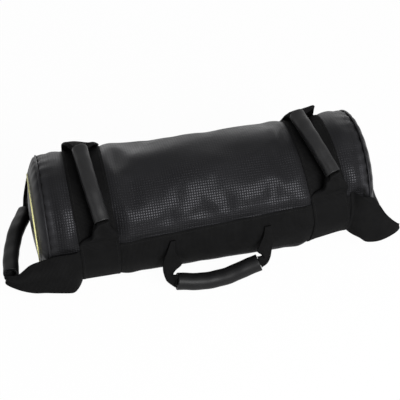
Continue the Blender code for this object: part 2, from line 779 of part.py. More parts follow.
def zip_fastener():
    start = ZIP_MIDDLE_X - ZIP_LENGTH / 2
    end = ZIP_MIDDLE_X + ZIP_LENGTH / 2
    turned = 90 - ZIP_ANGLE
    for label, side in (("upper", -1), ("lower", 1)):
        inner_edge = side * (GAP + TEETH_WIDTH + GAP)
        edges = [
            [zip_place(x, TAPE_RADIUS, aside) for x in (start, end)]
            for aside in (side * TAPE_HALF_WIDTH, inner_edge)
        ]
        strap("zip_" + label + "_tape", *edges, TAPE_THICKNESS, TAPE)
        middle = zip_place(ZIP_MIDDLE_X, TAPE_RADIUS, side * (GAP / 2 + TEETH_WIDTH / 2))
        block("zip_" + label + "_teeth", (ZIP_LENGTH, TEETH_WIDTH, TEETH_HEIGHT), middle, turned, NYLON)
    for label, x in (("left", start - STOP_LENGTH / 2 - GAP), ("right", end + STOP_LENGTH / 2 + GAP)):
        size = (STOP_LENGTH, 2 * TEETH_WIDTH, TEETH_HEIGHT)
        block("zip_" + label + "_stop", size, zip_place(x, TAPE_RADIUS, 0), turned, STEEL)
    zip_slider(start + SLIDER_LENGTH, TAPE_RADIUS + TEETH_HEIGHT / 2 + GAP, turned)


def zip_slider(x, seat, turned):
    """The slider's plate rides on the teeth; its ears hold a pin that the pull hangs from."""
    top = seat + SLIDER_PLATE
    pin_height = top + GAP + EYE_RADIUS
    slider = block(
        "zip_slider",
        (SLIDER_LENGTH, SLIDER_WIDTH, SLIDER_PLATE),
        zip_place(x, seat + SLIDER_PLATE / 2, 0),
        turned,
        STEEL,
    )
    ear_centre = PULL_WIDTH / 2 + GAP + EAR_WIDTH / 2
    ear_height = GAP + EYE_RADIUS * 2 + SLIDER_PLATE / 2
    for label, aside in (("upper", -ear_centre), ("lower", ear_centre)):
        place = zip_place(x, top - SLIDER_PLATE / 2 + ear_height / 2, aside)
        ear = block("zip_" + label + "_ear", (2 * EYE_RADIUS, EAR_WIDTH, ear_height), place, turned)
        boolean(slider, ear, "UNION")
    across = 2 * (ear_centre + EAR_WIDTH / 4)
    boolean(slider, pin("zip_pin", across, PIN_RADIUS, zip_place(x, pin_height, 0)), "UNION")
    pull = pin("zip_pull", PULL_WIDTH, EYE_RADIUS, zip_place(x, pin_height, 0), STEEL)
    tongue_place = zip_place(x, pin_height + PULL_LENGTH / 2, 0)
    tongue = block("zip_tongue", (PULL_THICKNESS, PULL_WIDTH, PULL_LENGTH), tongue_place, turned)
    boolean(pull, tongue, "UNION")
    bore = pin("zip_eye_bore", 2 * PULL_WIDTH, PIN_RADIUS + PIN_CLEARANCE, zip_place(x, pin_height, 0))
    boolean(pull, bore, "DIFFERENCE")
    hang_on("zip_pull_hinge", zip_place(x, pin_height, 0), [pull])


# Filler bags


def filler(label, x_start, x_end, floor):
    """A cloth bag with a filling neck in its end, the sand settled in it and the disc that shuts it."""
    wall = FILLER_WALL
    full = FILLER_RADIUS
    shoulder = full - FILLER_ROUNDING
    pole = full * POLE_SHARE
    outer = (
        (x_start, pole), (x_start, shoulder), (x_start + FILLER_ROUNDING, full),
        (x_end - FILLER_ROUNDING, full), (x_end, shoulder), (x_end, NECK_RADIUS),
    )
    inner = (
        (x_end - wall, NECK_RADIUS), (x_end - wall, shoulder - wall),
        (x_end - FILLER_ROUNDING, full - wall), (x_start + FILLER_ROUNDING, full - wall),
        (x_start + wall, shoulder - wall), (x_start + wall, pole),
    )
    rings = [round_section(x, radius, floor, sides=INNER_SIDES) for x, radius in outer]
    rings += [round_section(x, radius, floor + wall, sides=INNER_SIDES) for x, radius in inner]
    loft("filler_bag_" + label, rings, LINER)
    inset = wall + GAP
    level = floor + 2 * full * SAND_FILL_SHARE
    slumped = shoulder - FILLER_ROUNDING / 2
    sand = (
        (x_start + inset, slumped), (x_start + FILLER_ROUNDING, full - inset),
        (x_end - FILLER_ROUNDING, full - inset), (x_end - inset, slumped),
    )
    bottom = floor + inset
    sections = [round_section(x, radius, bottom, level, INNER_SIDES) for x, radius in sand]
    loft("sand_fill_" + label, sections, SAND)
    closure = [
        round_section(x_end + GAP + step, CLOSURE_RADIUS, 0, sides=INNER_SIDES)
        for step in (0, CLOSURE_THICKNESS)
    ]
    loft("filler_closure_" + label, closure, TAPE)


def filler_bags():
    room = 2 * (SEAM_HALF_LENGTH - FILLER_END_ROOM)
    length = (room - 2 * FILLER_SPACING) / 3
    over_groove = SHELL_WALL + BAND_UNDER + GAP
    floors = {"left": over_groove, "middle": SHELL_WALL + GAP, "right": over_groove}
    x = -room / 2
    for label, floor in floors.items():
        filler(label, x, x + length, floor)
        x += length + FILLER_SPACING


clear_scene()
PARTS = collection("sandbag_trainer")
GUIDES = collection("cutters", shown=False)
barrel_shell()
end_panel(-1, "left")
end_panel(1, "right")
end_ring(-1, "left")
long_band("front_band", 0)
long_band("back_band", 180)
girth_band("left_girth_band", LEFT_GIRTH_X, LEFT_GIRTH_SKEW)
girth_band("right_girth_band", RIGHT_GIRTH_X, RIGHT_GIRTH_SKEW)
carry_handle()
end_handle(
    -1,
    "left_end_handle",
    LEFT_HINGE_RISE,
    LEFT_END_GRIP_SHARES,
    LEFT_FRONT_FLAP_SHARES,
    LEFT_BACK_FLAP_SHARES,
)
end_handle(
    1,
    "right_end_handle",
    RIGHT_HINGE_RISE,
    RIGHT_END_GRIP_SHARES,
    RIGHT_FRONT_FLAP_SHARES,
    RIGHT_BACK_FLAP_SHARES,
)
top_handle("left_top_handle", LEFT_GIRTH_X, LEFT_GIRTH_SKEW, LEFT_TOP_SHARES, LEFT_TOP_FEET)
top_handle("right_top_handle", RIGHT_GIRTH_X, RIGHT_GIRTH_SKEW, RIGHT_TOP_SHARES, RIGHT_TOP_FEET)
zip_fastener()
filler_bags()
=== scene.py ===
# %% [markdown]
# A sandbag trainer, dressed piece by piece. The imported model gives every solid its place, and this file
# makes the surfaces that are seen: coated cloth that sags over sand, ribbed webbing, rubber sleeves, a
# coil zip. Sizes are in metres, +X runs along the barrel to its right end, the front faces -Y, and
# angles round the barrel count in degrees from the front horizontal, upwards.

# %% Load the frame
import math

import bmesh
import bpy
import numpy as np
from mathutils import Matrix, Vector


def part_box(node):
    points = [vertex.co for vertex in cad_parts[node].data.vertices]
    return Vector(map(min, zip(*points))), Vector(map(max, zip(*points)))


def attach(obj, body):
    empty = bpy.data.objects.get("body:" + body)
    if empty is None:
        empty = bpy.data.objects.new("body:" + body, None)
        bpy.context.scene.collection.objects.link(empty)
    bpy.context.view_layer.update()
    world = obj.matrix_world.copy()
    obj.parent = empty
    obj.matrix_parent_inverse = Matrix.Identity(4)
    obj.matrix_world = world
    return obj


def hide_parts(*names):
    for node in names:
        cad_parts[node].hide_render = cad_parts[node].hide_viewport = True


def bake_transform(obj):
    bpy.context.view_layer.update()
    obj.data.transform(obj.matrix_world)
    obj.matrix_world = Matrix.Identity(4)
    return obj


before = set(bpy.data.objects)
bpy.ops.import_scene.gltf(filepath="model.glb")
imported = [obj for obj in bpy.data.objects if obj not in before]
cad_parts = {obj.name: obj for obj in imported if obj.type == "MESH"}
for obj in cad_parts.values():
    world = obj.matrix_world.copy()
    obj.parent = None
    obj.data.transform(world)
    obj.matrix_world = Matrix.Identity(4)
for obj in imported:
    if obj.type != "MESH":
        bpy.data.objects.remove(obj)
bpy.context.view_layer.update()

# %% [markdown]
# The frame is the ruler. The barrel's solid gives the radius, the height of its axis and the two end
# seams, and each girth band's solid gives its middle and how far its top leans to the left. Only what a
# box can't tell, such as how thick webbing is, is written here as a size.

# %% Measures of the barrel and its bands
shell_low, shell_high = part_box("barrel_shell")
SEAM_X = shell_high.x
RADIUS = (shell_high.y - shell_low.y) / 2
AXIS_Z = shell_high.z - RADIUS

# What lies on another piece keeps the gap; then the walls of cloth, of webbing and of webbing folded over
GAP = 0.0003
SKIN = 0.0015
WEBBING = 0.0018
FOLDED = 0.0036
GIRTH_WIDTH = 0.065
LONG_BAND_WIDTH = 0.100
FRONT_BAND_ANGLE = -11.2
BAND_TWIST = 15.7
ZIP_ANGLE = 222.0
ZIP_SLOT = 0.010
DOME_DEPTH = 0.025
DOME_POWER = 0.55
FLOOR_CLEARANCE = 0.0004
BAND_HALF_ANGLE = math.degrees(LONG_BAND_WIDTH / 2 / (RADIUS + WEBBING))
GIRTH_TOP = RADIUS + GAP + WEBBING


def girth_place(node):
    """The middle of a girth band at its foot, and how far its top leans to the left."""
    low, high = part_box(node)
    middle = high.x - GIRTH_WIDTH / 2
    return middle, middle - GIRTH_WIDTH / 2 - low.x


GIRTHS = [girth_place("left_girth_band"), girth_place("right_girth_band")]
teeth_low, teeth_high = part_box("zip_upper_teeth")
stop_low, stop_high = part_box("zip_left_stop")[0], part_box("zip_right_stop")[1]
SLOT_MIDDLE = (stop_low.x + stop_high.x) / 2
SLOT_HALF = (stop_high.x - stop_low.x) / 2
print("radius", round(RADIUS, 4), "axis", round(AXIS_Z, 4), "girths", GIRTHS)

# %% [markdown]
# A few curves and steps are used by every piece. A soft step and a soft bump shape the cloth, and a
# Catmull-Rom curve goes through the listed places of a handle, as its solid does.


# %% Curves and steps
def soft_step(value, start, end):
    """0 before start, 1 after end, and three t squared less two t cubed in between."""
    part = np.clip((value - start) / (end - start), 0, 1)
    return part * part * (3 - 2 * part)


def soft_bump(distance, width):
    """A bell: e to the minus square of distance over width."""
    return np.exp(-np.square(distance / width))


def turn_between(angle, centre):
    """The signed turn in degrees from centre to angle, from -180 to 180."""
    return (np.asarray(angle) - centre + 180) % 360 - 180


def smooth(controls, count):
    """Points at even steps along a Catmull-Rom curve through the control points, of any width."""
    given = np.asarray(controls, float)
    knots = np.concatenate([[2 * given[0] - given[1]], given, [2 * given[-1] - given[-2]]])
    where = np.linspace(0, len(given) - 1, count)
    piece = np.minimum(where.astype(int), len(given) - 2)
    part = (where - piece)[:, None]
    before, start, end, after = (knots[piece + shift] for shift in range(4))
    bend = 2 * before - 5 * start + 4 * end - after
    swing = 3 * start - before - 3 * end + after
    return (2 * start + part * (end - before) + part**2 * bend + part**3 * swing) / 2


def unit(vectors):
    """Vectors scaled to length one."""
    vectors = np.asarray(vectors, float)
    return vectors / np.linalg.norm(vectors, axis=-1, keepdims=True)


def reach_of(points):
    """The length of a line of points up to each of them: the running sum of its steps."""
    return np.concatenate([[0], np.cumsum(np.linalg.norm(np.diff(points, axis=0), axis=1))])


def grid(rows, columns):
    """Two arrays over a grid: the row's value and the column's value at each of its points."""
    return np.meshgrid(rows, columns, indexing="ij")


def on_barrel(x, radius, angle):
    """Points at these angles and distances from the barrel's axis."""
    x, radius, angle = np.broadcast_arrays(x, radius, np.radians(angle))
    return np.stack([x, -radius * np.cos(angle), AXIS_Z + radius * np.sin(angle)], axis=-1)


print("front of the barrel", on_barrel(0, RADIUS, 0).round(4), "and top", on_barrel(0, RADIUS, 90).round(4))

# %% [markdown]
# Every new piece is a grid of points, worked out as one array. The builder joins neighbouring points
# into quads, writes a map of real lengths for the weave to follow, closes the seam where the grid meets
# itself, and turns the faces outwards. Rows run along the piece and columns run round it.
# Primitives could start the same shapes, but a grid can be worked out again with other sizes.


# %% From a grid of points to a mesh
def cells(index):
    """Quads between the neighbours of a grid of vertex numbers."""
    return np.stack([index[:-1, :-1], index[1:, :-1], index[1:, 1:], index[:-1, 1:]], axis=-1)


def whole_mesh(name, points, faces, lengths, closed=True):
    """A smooth mesh with its map of real lengths, doubles merged and, if it is closed, faces outwards."""
    mesh = bpy.data.meshes.new(name)
    mesh.from_pydata(points.reshape(-1, 3).tolist(), [], faces)
    corners = np.empty(len(mesh.loops), int)
    mesh.loops.foreach_get("vertex_index", corners)
    chart = mesh.uv_layers.new(name="lengths")
    chart.uv.foreach_set("vector", lengths.reshape(-1, 2)[corners].astype(np.float32).ravel())
    work = bmesh.new()
    work.from_mesh(mesh)
    bmesh.ops.remove_doubles(work, verts=work.verts, dist=1e-6)
    if closed:
        bmesh.ops.recalc_face_normals(work, faces=work.faces)
    work.to_mesh(mesh)
    work.free()
    mesh.shade_smooth()
    return mesh


def surface(name, points, lengths, caps=None, keep=None, closed=True):
    """Quads between the neighbours of a grid; caps 'pair' joins column k to its opposite, 'fan' is flat."""
    rows, columns = points.shape[:2]
    index = np.arange(rows * columns).reshape(rows, columns)
    quads = cells(index)
    faces = (quads if keep is None else quads[keep]).reshape(-1, 4).tolist()
    ring = columns - 1
    if caps == "pair":
        near = np.arange(ring // 2 - 1)
        far = ring - 1 - near
        for row in (index[0], index[-1]):
            faces += np.stack([row[near], row[near + 1], row[far - 1], row[far]], axis=-1).tolist()
    if caps == "fan":
        faces += [index[0, :-1].tolist(), index[-1, :-1].tolist()]
    return whole_mesh(name, points, faces, lengths, closed)


print("quads of a grid of 3 by 3 points", cells(np.arange(9).reshape(3, 3)).tolist())

# %% [markdown]
# A mesh is only a shape. To be a piece of the bag it needs an object at the origin, a finish and the
# finish's slot, the solids it stands for and the body it moves with. An open skin of cloth also needs a
# wall, and a modifier gives it one, because an offset worked out by hand would have to mind every edge.

# %% From a mesh to a piece
def in_scene(name, data):
    """A new object at the origin that shows this mesh, lamp or camera."""
    obj = bpy.data.objects.new(name, data)
    bpy.context.scene.collection.objects.link(obj)
    return obj


def place(name, mesh, body, look, nodes=()):
    """Show a mesh as a piece: its finish, the body it rides on and the nodes it stands for."""
    obj = in_scene(name, mesh)
    mesh.materials.append(look)
    if nodes:
        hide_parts(*nodes)
    if body:
        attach(obj, body)
    print(name, len(mesh.polygons), "faces")
    return obj


def add_wall(obj, thickness):
    """Give an open skin its thickness, inwards."""
    wall = obj.modifiers.new("wall", "SOLIDIFY")
    wall.thickness = thickness
    wall.offset = -1
    wall.use_even_offset = False


# %% [markdown]
# The camera stands where the photographer stood: in front, a little to the left, looking down at 42
# degrees through a long lens. It is fitted to seams, band edges and silhouettes that can be measured in
# the picture, so the render lines up with the photograph.
# A target to look at could aim it, but the three directions of the fit say the same without one.

# %% Camera
LENS_MM = 89.0
SENSOR_MM = 36.0
CAMERA_PLACE = (-0.2862, -1.2783, 1.2712)
CAMERA_RIGHT = (0.97592, -0.21814, 0.0)
CAMERA_UP = (0.14597, 0.65302, 0.74314)
CAMERA_AHEAD = (0.16211, 0.72525, -0.66913)

camera_data = bpy.data.cameras.new("photo_view")
camera_data.lens = LENS_MM
camera_data.sensor_width = SENSOR_MM
camera = in_scene("photo_view", camera_data)
columns = Matrix((CAMERA_RIGHT, CAMERA_UP, [-value for value in CAMERA_AHEAD])).transposed()
camera.matrix_world = Matrix.Translation(CAMERA_PLACE) @ columns.to_4x4()
bpy.context.scene.camera = camera
bpy.context.scene.view_settings.view_transform = "Standard"
print("camera at", CAMERA_PLACE)

# %% [markdown]
# Shader maths reads best as sums. This small class wraps one socket: adding or multiplying wrapped
# sockets adds the Math nodes that do it, and one method makes every other kind of node.


# %% Shader expressions
class Shade:
    """One output socket of a node tree. Maths written with it becomes Math nodes."""

    def __init__(self, tree, socket=None):
        self.tree = tree
        self.socket = socket

    def node(self, kind, settings=None, sockets=None, output=0):
        """A node of this kind: its settings first, then the value or link of each named socket."""
        made = self.tree.nodes.new("ShaderNode" + kind)
        for key, value in (settings or {}).items():
            setattr(made, key, value)
        for key, value in (sockets or {}).items():
            self.plug(made.inputs[key], value)
        return Shade(self.tree, made.outputs[output])

    def plug(self, target, value):
        """Give a socket a link if the value is wrapped, or else the value itself."""
        if isinstance(value, Shade):
            self.tree.links.new(value.socket, target)
        else:
            target.default_value = value

    def output(self, name):
        """Another output of the node that this socket belongs to."""
        return Shade(self.tree, self.socket.node.outputs[name])

    def maths(self, operation, first, *others):
        """A Math node of the values in this order."""
        return self.node("Math", {"operation": operation}, dict(enumerate((first, *others))))

    def __add__(self, other):
        return self.maths("ADD", self, other)

    __radd__ = __add__

    def __mul__(self, other):
        return self.maths("MULTIPLY", self, other)

    __rmul__ = __mul__

    def __sub__(self, other):
        return self.maths("SUBTRACT", self, other)

    def __rsub__(self, other):
        return self.maths("SUBTRACT", other, self)

    def __abs__(self):
        return self.maths("ABSOLUTE", self)

    def larger(self, other):
        """The larger of two values."""
        return self.maths("MAXIMUM", self, other)

    def smaller(self, other):
        """The smaller of two values."""
        return self.maths("MINIMUM", self, other)

    def saw(self, period):
        """From -0.5 to 0.5 over each period."""
        return self.maths("FRACT", self * (1 / period)) - 0.5

    def wave(self, period):
        """A sine of this period, from 0 to 1."""
        return self.maths("SINE", self * (2 * math.pi / period)) * 0.5 + 0.5

    def ramp(self, low, high, start=0.0, end=1.0):
        """A smooth step that takes low to start and high to end."""
        sockets = {"Value": self, "From Min": low, "From Max": high, "To Min": start, "To Max": end}
        return self.node("MapRange", {"interpolation_type": "SMOOTHSTEP"}, sockets)

    def blend(self, first, second):
        """A colour between two, with this value as the share of the second."""
        return self.node("Mix", {"data_type": "RGBA"}, {0: self, 6: first, 7: second}, output=2)


def grey(value, tint=1.0):
    """A near-neutral colour whose blue is this much of its red and green."""
    return (value, value, value * tint, 1)


def new_look(name, roughness, specular, metallic=0.0):
    """A Principled material with its constants set on their own sockets, and a handle on its tree."""
    made = bpy.data.materials.new(name)
    made.use_nodes = True
    shader = made.node_tree.nodes["Principled BSDF"]
    shader.inputs["Roughness"].default_value = roughness
    shader.inputs["Specular IOR Level"].default_value = specular
    shader.inputs["Metallic"].default_value = metallic
    return made, shader, Shade(made.node_tree)


def set_look(shader, shade, colour=None, roughness=None, height=None, relief=0.0):
    """Link what varies over the surface; relief is the height of the bump in metres."""
    if colour is not None:
        shade.plug(shader.inputs["Base Color"], colour)
    if roughness is not None:
        shade.plug(shader.inputs["Roughness"], roughness)
    if height is not None:
        bump = shade.node("Bump", None, {"Strength": 1.0, "Distance": relief, "Height": height})
        shade.plug(shader.inputs["Normal"], bump)


print("a dark grey with a touch of blue", grey(0.01, 1.05))

# %% [markdown]
# The barrel is vinyl-coated cloth with a fine grid of raised squares pressed into it. The squares catch
# the light and the grooves between them stay dark, so one mask drives height, colour and roughness, and
# the grooves' darker colour is painted shade. The mask is read from the map of real lengths, so the grid
# runs true along the barrel and round it, over every fold. Where the cloth is rubbed or drawn tight, on
# the top and beside the seams, the squares are nearly flat, and beside the seams the cloth is also
# painted paler, a painted highlight. The plain side of the same cloth makes the domed ends.
# Real squares would take millions of faces, and from where a bag is looked at a bump shows the same.

# %% Coated cloth
EMBOSS_PITCH = 0.0042
EMBOSS_RELIEF = 0.00036
PLAIN_RELIEF = 0.00005
VINYL_TINT = (0.92, 0.92, 1.0, 1)
# On top the squares fade to nearly flat over the first two angles and come back over the last two
TOP_FLAT = 0.80
TOP_ANGLES = (72, 98, 160, 190)
SEAM_FLAT = 0.90
SEAM_INSETS = (0.018, 0.006)


def arc(degrees):
    """The length round the barrel of a turn from the front."""
    return math.radians(degrees) * RADIUS


def lengths_of(shade):
    """The two coordinates of the piece's map of real lengths: along it and across or round it."""
    split = shade.node("SeparateXYZ", None, {0: shade.node("UVMap", {"uv_map": "lengths"})})
    return split, split.output("Y")


def coated_cloth(name, embossed):
    """Near-black vinyl, paler in worn patches and, as painted highlight, beside the seams; each raised
    square is where both saws are near zero.
    """
    look, shader, shade = new_look(name, 0.40, 0.14)
    shader.inputs["Specular Tint"].default_value = VINYL_TINT
    spot = shade.node("TexCoord", output=3)
    broad = shade.node("TexNoise", None, {"Vector": spot, "Scale": 16.0, "Detail": 3.0})
    grain = shade.node("TexNoise", None, {"Vector": spot, "Scale": 900.0, "Detail": 2.0})
    wear_and_seam_highlight = broad.ramp(0.35, 0.75) * 0.30
    if embossed:
        along, around = lengths_of(shade)
        reach = abs(along.saw(EMBOSS_PITCH)).larger(abs(around.saw(EMBOSS_PITCH)))
        wander = around + broad * 0.05
        begin, full, fall, finish = (arc(angle) for angle in TOP_ANGLES)
        top = wander.ramp(begin, full) * wander.ramp(fall, finish, 1.0, 0.0)
        at_seam = abs(along).ramp(*(SEAM_X - inset for inset in SEAM_INSETS))
        flat = (top * TOP_FLAT).larger(at_seam * SEAM_FLAT)
        raised = (reach.ramp(0.25, 0.41, 1.0, 0.0) - 0.5) * (1 - flat) + 0.5
        height = raised + grain * 0.06
        # Beside the seams the cloth is painted paler: a painted highlight, on top of the worn patches.
        wear_and_seam_highlight = wear_and_seam_highlight.larger(at_seam * 0.6)
        rough = 0.62 - raised * 0.40 + broad.ramp(0.3, 0.7) * 0.10
        wear_and_highlight_grey, relief = 0.0115, EMBOSS_RELIEF
    else:
        raised, height = broad, grain * 0.12
        rough = 0.38 + broad * 0.08
        wear_and_highlight_grey, relief = 0.0300, PLAIN_RELIEF
    # On the embossed side the grooves' darker colour is painted shade; on the plain side the tone follows
    # noise.
    colour = raised.blend(grey(0.0018, 1.10), grey(0.0070, 1.06))
    colour = wear_and_seam_highlight.blend(colour, grey(wear_and_highlight_grey, 1.08))
    set_look(shader, shade, colour, rough, height, relief)
    return look


CLOTH = coated_cloth("embossed_coated_cloth", True)
PLAIN_CLOTH = coated_cloth("plain_coated_cloth", False)
print("nodes of the embossed side", len(CLOTH.node_tree.nodes), "plain", len(PLAIN_CLOTH.node_tree.nodes))

# %% [markdown]
# Webbing is woven nylon: thick weft ribs cross the strap, and fine warp yarns run over them. It is matt,
# nearly black, and a little paler where yarns crown. A picture of a weave would show where it repeats.
# Two sines on the map of real lengths never do, and they turn with every strap.


# %% Webbing, tape and thread
def woven(name, rib, yarn, dark, pale, roughness, relief):
    """Ribs are a sine along the strap, yarns a slanted sine across it, and their crowns are paler."""
    look, shader, shade = new_look(name, roughness, 0.04)
    along, across = lengths_of(shade)
    ribs = along.wave(rib)
    yarns = (across + along * 0.5).wave(yarn)
    spot = shade.node("TexCoord", output=3)
    patchy = shade.node("TexNoise", None, {"Vector": spot, "Scale": 45.0, "Detail": 4.0})
    height = ribs * 0.7 + yarns * ribs * 0.5
    crown = (height * 0.6 + patchy * 0.5).ramp(0.25, 1.0)
    colour = crown.blend(grey(dark, 1.03), grey(pale, 1.03))
    set_look(shader, shade, colour, roughness - crown * 0.1, height, relief)
    return look


WEB = woven("ribbed_webbing", 0.0021, 0.0012, 0.0024, 0.0078, 0.82, 0.00022)
TAPE = woven("woven_tape", 0.0011, 0.0008, 0.0050, 0.0110, 0.85, 0.00012)
LINER = woven("filler_bag_cloth", 0.0009, 0.0009, 0.060, 0.110, 0.80, 0.00010)
THREAD = woven("bonded_thread", 0.0008, 0.0008, 0.0080, 0.0160, 0.60, 0.00006)
print("woven looks", [look.name for look in (WEB, TAPE, LINER, THREAD)])


# %% [markdown]
# The sleeves are smooth moulded rubber, charcoal rather than black, with a satin skin that takes a long
# soft highlight. Those of the carry and end handles use a darker, less glossy copy, whose darker colour
# is painted shade. The piping ring is pale yellow vinyl. The small zip parts are blackened metal and
# moulded nylon.
# All of them come from one helper, because what tells a moulded skin from plain paint is one fine grain
# in its colour, its gloss and its height.


# %% Rubber, vinyl, nylon, metal and sand
def grained(name, dark, pale, roughness, specular, scale, relief, metallic=0.0):
    """A finish with a fine grain: the same noise moves its colour, its gloss and its height."""
    look, shader, shade = new_look(name, roughness, specular, metallic)
    spot = shade.node("TexCoord", output=3)
    fine = shade.node("TexNoise", None, {"Vector": spot, "Scale": scale, "Detail": 3.0})
    broad = shade.node("TexNoise", None, {"Vector": spot, "Scale": 30.0, "Detail": 2.0})
    mixed = (fine * 0.6 + broad * 0.4).ramp(0.3, 0.7)
    set_look(shader, shade, mixed.blend(dark, pale), roughness + mixed * 0.08, fine, relief)
    return look


RUBBER = grained("grip_rubber_skin", grey(0.0075, 1.05), grey(0.0120, 1.05), 0.36, 0.19, 500.0, 0.00004)
# A darker, less glossy copy of the grip rubber for the carry and end handles; its darker colour is painted
# shade.
SHADED_RUBBER = grained(
    "grip_rubber_painted_shade", grey(0.0050, 1.05), grey(0.0085, 1.05), 0.42, 0.14, 500.0, 0.00004
)
YELLOW = grained("yellow_piping", (0.92, 0.89, 0.38, 1), (1.0, 0.97, 0.48, 1), 0.42, 0.35, 300.0, 0.00003)
NYLON = grained("zip_coil_nylon", grey(0.010), grey(0.018), 0.40, 0.40, 800.0, 0.00002)
METAL = grained("blackened_metal", grey(0.09), grey(0.15), 0.30, 0.50, 700.0, 0.00001, 1.0)
SAND = grained("dry_sand", (0.42, 0.32, 0.19, 1), (0.66, 0.55, 0.38, 1), 0.95, 0.20, 1400.0, 0.00030)
print("grained looks", [look.name for look in (RUBBER, SHADED_RUBBER, YELLOW, NYLON, METAL, SAND)])

# %% [markdown]
# Sand packed in cloth never makes a true cylinder. The bands draw the cloth in and it swells beside
# them, the seams pucker it, the sand leaves broad shallow dents, the top sags, and the underside lies
# flat. All of that becomes one function of the place along the barrel and the angle round it, so the
# bands that lie on the cloth can follow the same surface. First come the lines where the bands are sewn.


# %% Where the bands lie
def band_angle(x, own_angle):
    """The angle round the barrel of a line sewn along it, which the resting bag twists a little."""
    return FRONT_BAND_ANGLE + own_angle + BAND_TWIST * x / (2 * SEAM_X)


def girth_lean(skew, angle):
    """How far to the left a girth band is at this angle: its top's lean times the sine, or nothing."""
    return skew * np.maximum(0, np.sin(np.radians(angle)))


def past_girth(x, angle, girth):
    """How far a point is past the nearest edge of a girth band, less than zero under it."""
    middle, skew = girth
    return np.abs(x - middle + girth_lean(skew, angle)) - GIRTH_WIDTH / 2


def past_long_band(x, angle):
    """How many degrees a point is past the nearest edge of a long band, less than zero under it."""
    away = [np.abs(turn_between(angle, band_angle(x, own))) - BAND_HALF_ANGLE for own in (0, 180)]
    return np.minimum(*away)


def near_long_band(x, angle, margin):
    """1 on and beside the line of a long band, fading over the margin in degrees."""
    return 1 - soft_step(past_long_band(x, angle), 0.0, margin)


print("front band from", round(band_angle(-SEAM_X, 0), 2), "to", round(band_angle(SEAM_X, 0), 2), "degrees")

# %% [markdown]
# Every band and seam is a line of thread that pulls the cloth to it. Close to it the cloth goes in, a
# finger's width away it swells, and along a seam the spare cloth gathers into small puckers.
# Creases could be sculpted, but a bell at a distance from a line follows that line wherever it goes.

# %% Cloth drawn by bands and seams
# A girth band draws the cloth in, from this far under its edge to this far past it, and swells it beyond
CINCH = 0.0012
CINCH_EDGE = (-0.004, 0.007)
SWELL = 0.0016
SWELL_AWAY = 0.017
SWELL_WIDTH = 0.013
GIRTH_MARGIN = 0.022
# An end seam draws it in and puckers it
SEAM_MARGIN = (0.004, 0.040)
SEAM_DRAW = 0.0026
SEAM_DRAW_WIDTH = 0.0055
PUCKER = 0.0010
PUCKER_COUNT = 37
PUCKER_REACH = 0.011
SEAM_FOLD = 0.0012
# The two folds beside a seam: inset, width, share of the depth, mean, waves round the barrel and phase
SEAM_FOLDS = ((0.017, 0.0055, 1.0, 0.55, 3, 1.1), (0.031, 0.007, 0.6, 0.5, 5, 0.3))
# The edge of a long band draws it in and swells it: depth, how far past the edge, width
BAND_DRAW = (0.0017, 0.003, 0.0028)
BAND_SWELL = (0.0030, 0.014, 0.009)


def drawn_by_girths(x, angle):
    """How far the girth bands draw the cloth in or swell it, and how free of them it is, from 0 to 1."""
    drawn, free = np.zeros(x.shape), np.ones(x.shape)
    for girth in GIRTHS:
        past = past_girth(x, angle, girth)
        drawn -= CINCH * (1 - soft_step(past, *CINCH_EDGE))
        drawn += SWELL * soft_bump(past - SWELL_AWAY, SWELL_WIDTH)
        free *= soft_step(past, 0.0, GIRTH_MARGIN)
    return drawn, free


def drawn_by_seams(inset, turn):
    """The draw of an end seam, the two uneven folds beside it and its pucker, which dies away inwards."""
    shape = -SEAM_DRAW * soft_bump(inset, SEAM_DRAW_WIDTH)
    for away, width, share, mean, waves, phase in SEAM_FOLDS:
        uneven = mean + (1 - mean) * np.sin(waves * turn + phase)
        shape = shape - share * SEAM_FOLD * soft_bump(inset - away, width) * uneven
    pucker = np.sin(PUCKER_COUNT * turn + 2.5 * np.sin(2 * turn)) * np.exp(-inset / PUCKER_REACH)
    return shape + PUCKER * pucker


def drawn_by_long_bands(x, angle):
    """Between the girth bands: a swell beside a long band's edge, less the line where it draws in."""
    beside = np.radians(past_long_band(x, angle)) * RADIUS
    inside = soft_step(np.minimum(x - GIRTHS[0][0], GIRTHS[1][0] - x), 0.0, GIRTH_WIDTH)
    swell, draw = (
        depth * soft_bump(beside - away, width) for depth, away, width in (BAND_SWELL, BAND_DRAW)
    )
    return inside * (swell - draw)


print("drawn in at an end seam, in front", drawn_by_seams(0.0, 0.0).round(5))

# %% [markdown]
# Between the bands the sand shifts, so the cloth is dented where nobody planned it. Bells of two signs,
# at places drawn from a seeded list, give that, and the few hollows that the photo shows are added from
# a list. A noise texture could do it too, but bells can be counted, moved and kept off the bands.

# %% Dents and hollows
# Dents are bells at places drawn once from a seeded list: most of them on the front, above its band
DENT_SEED = 12
DENT_COUNT = 110
DENT_HEIGHT = 0.0036
DENT_WIDTHS = (0.014, 0.036)
DENT_STRETCHES = (1.0, 2.2)
DENT_FRONT_SHARE = 0.62
DENT_FRONT_ANGLES = (8, 100)
# They are weaker behind the top, at this angle and spread, and this many degrees from a long band
BACK_CALM = (0.75, 132, 26)
BAND_CALM = (0.70, 6.0)
drawn = np.random.default_rng(DENT_SEED)
DENT_X = drawn.uniform(-SEAM_X, SEAM_X, DENT_COUNT)
on_front = drawn.random(DENT_COUNT) < DENT_FRONT_SHARE
front_angle = drawn.uniform(*DENT_FRONT_ANGLES, DENT_COUNT)
DENT_ANGLE = np.where(on_front, front_angle, drawn.uniform(0, 360, DENT_COUNT))
DENT_WIDTH = drawn.uniform(*DENT_WIDTHS, DENT_COUNT)
DENT_LONG = drawn.uniform(*DENT_STRETCHES, DENT_COUNT)
DENT_RISE = DENT_HEIGHT * drawn.uniform(-1, 1, DENT_COUNT) * DENT_WIDTH / DENT_WIDTHS[1]
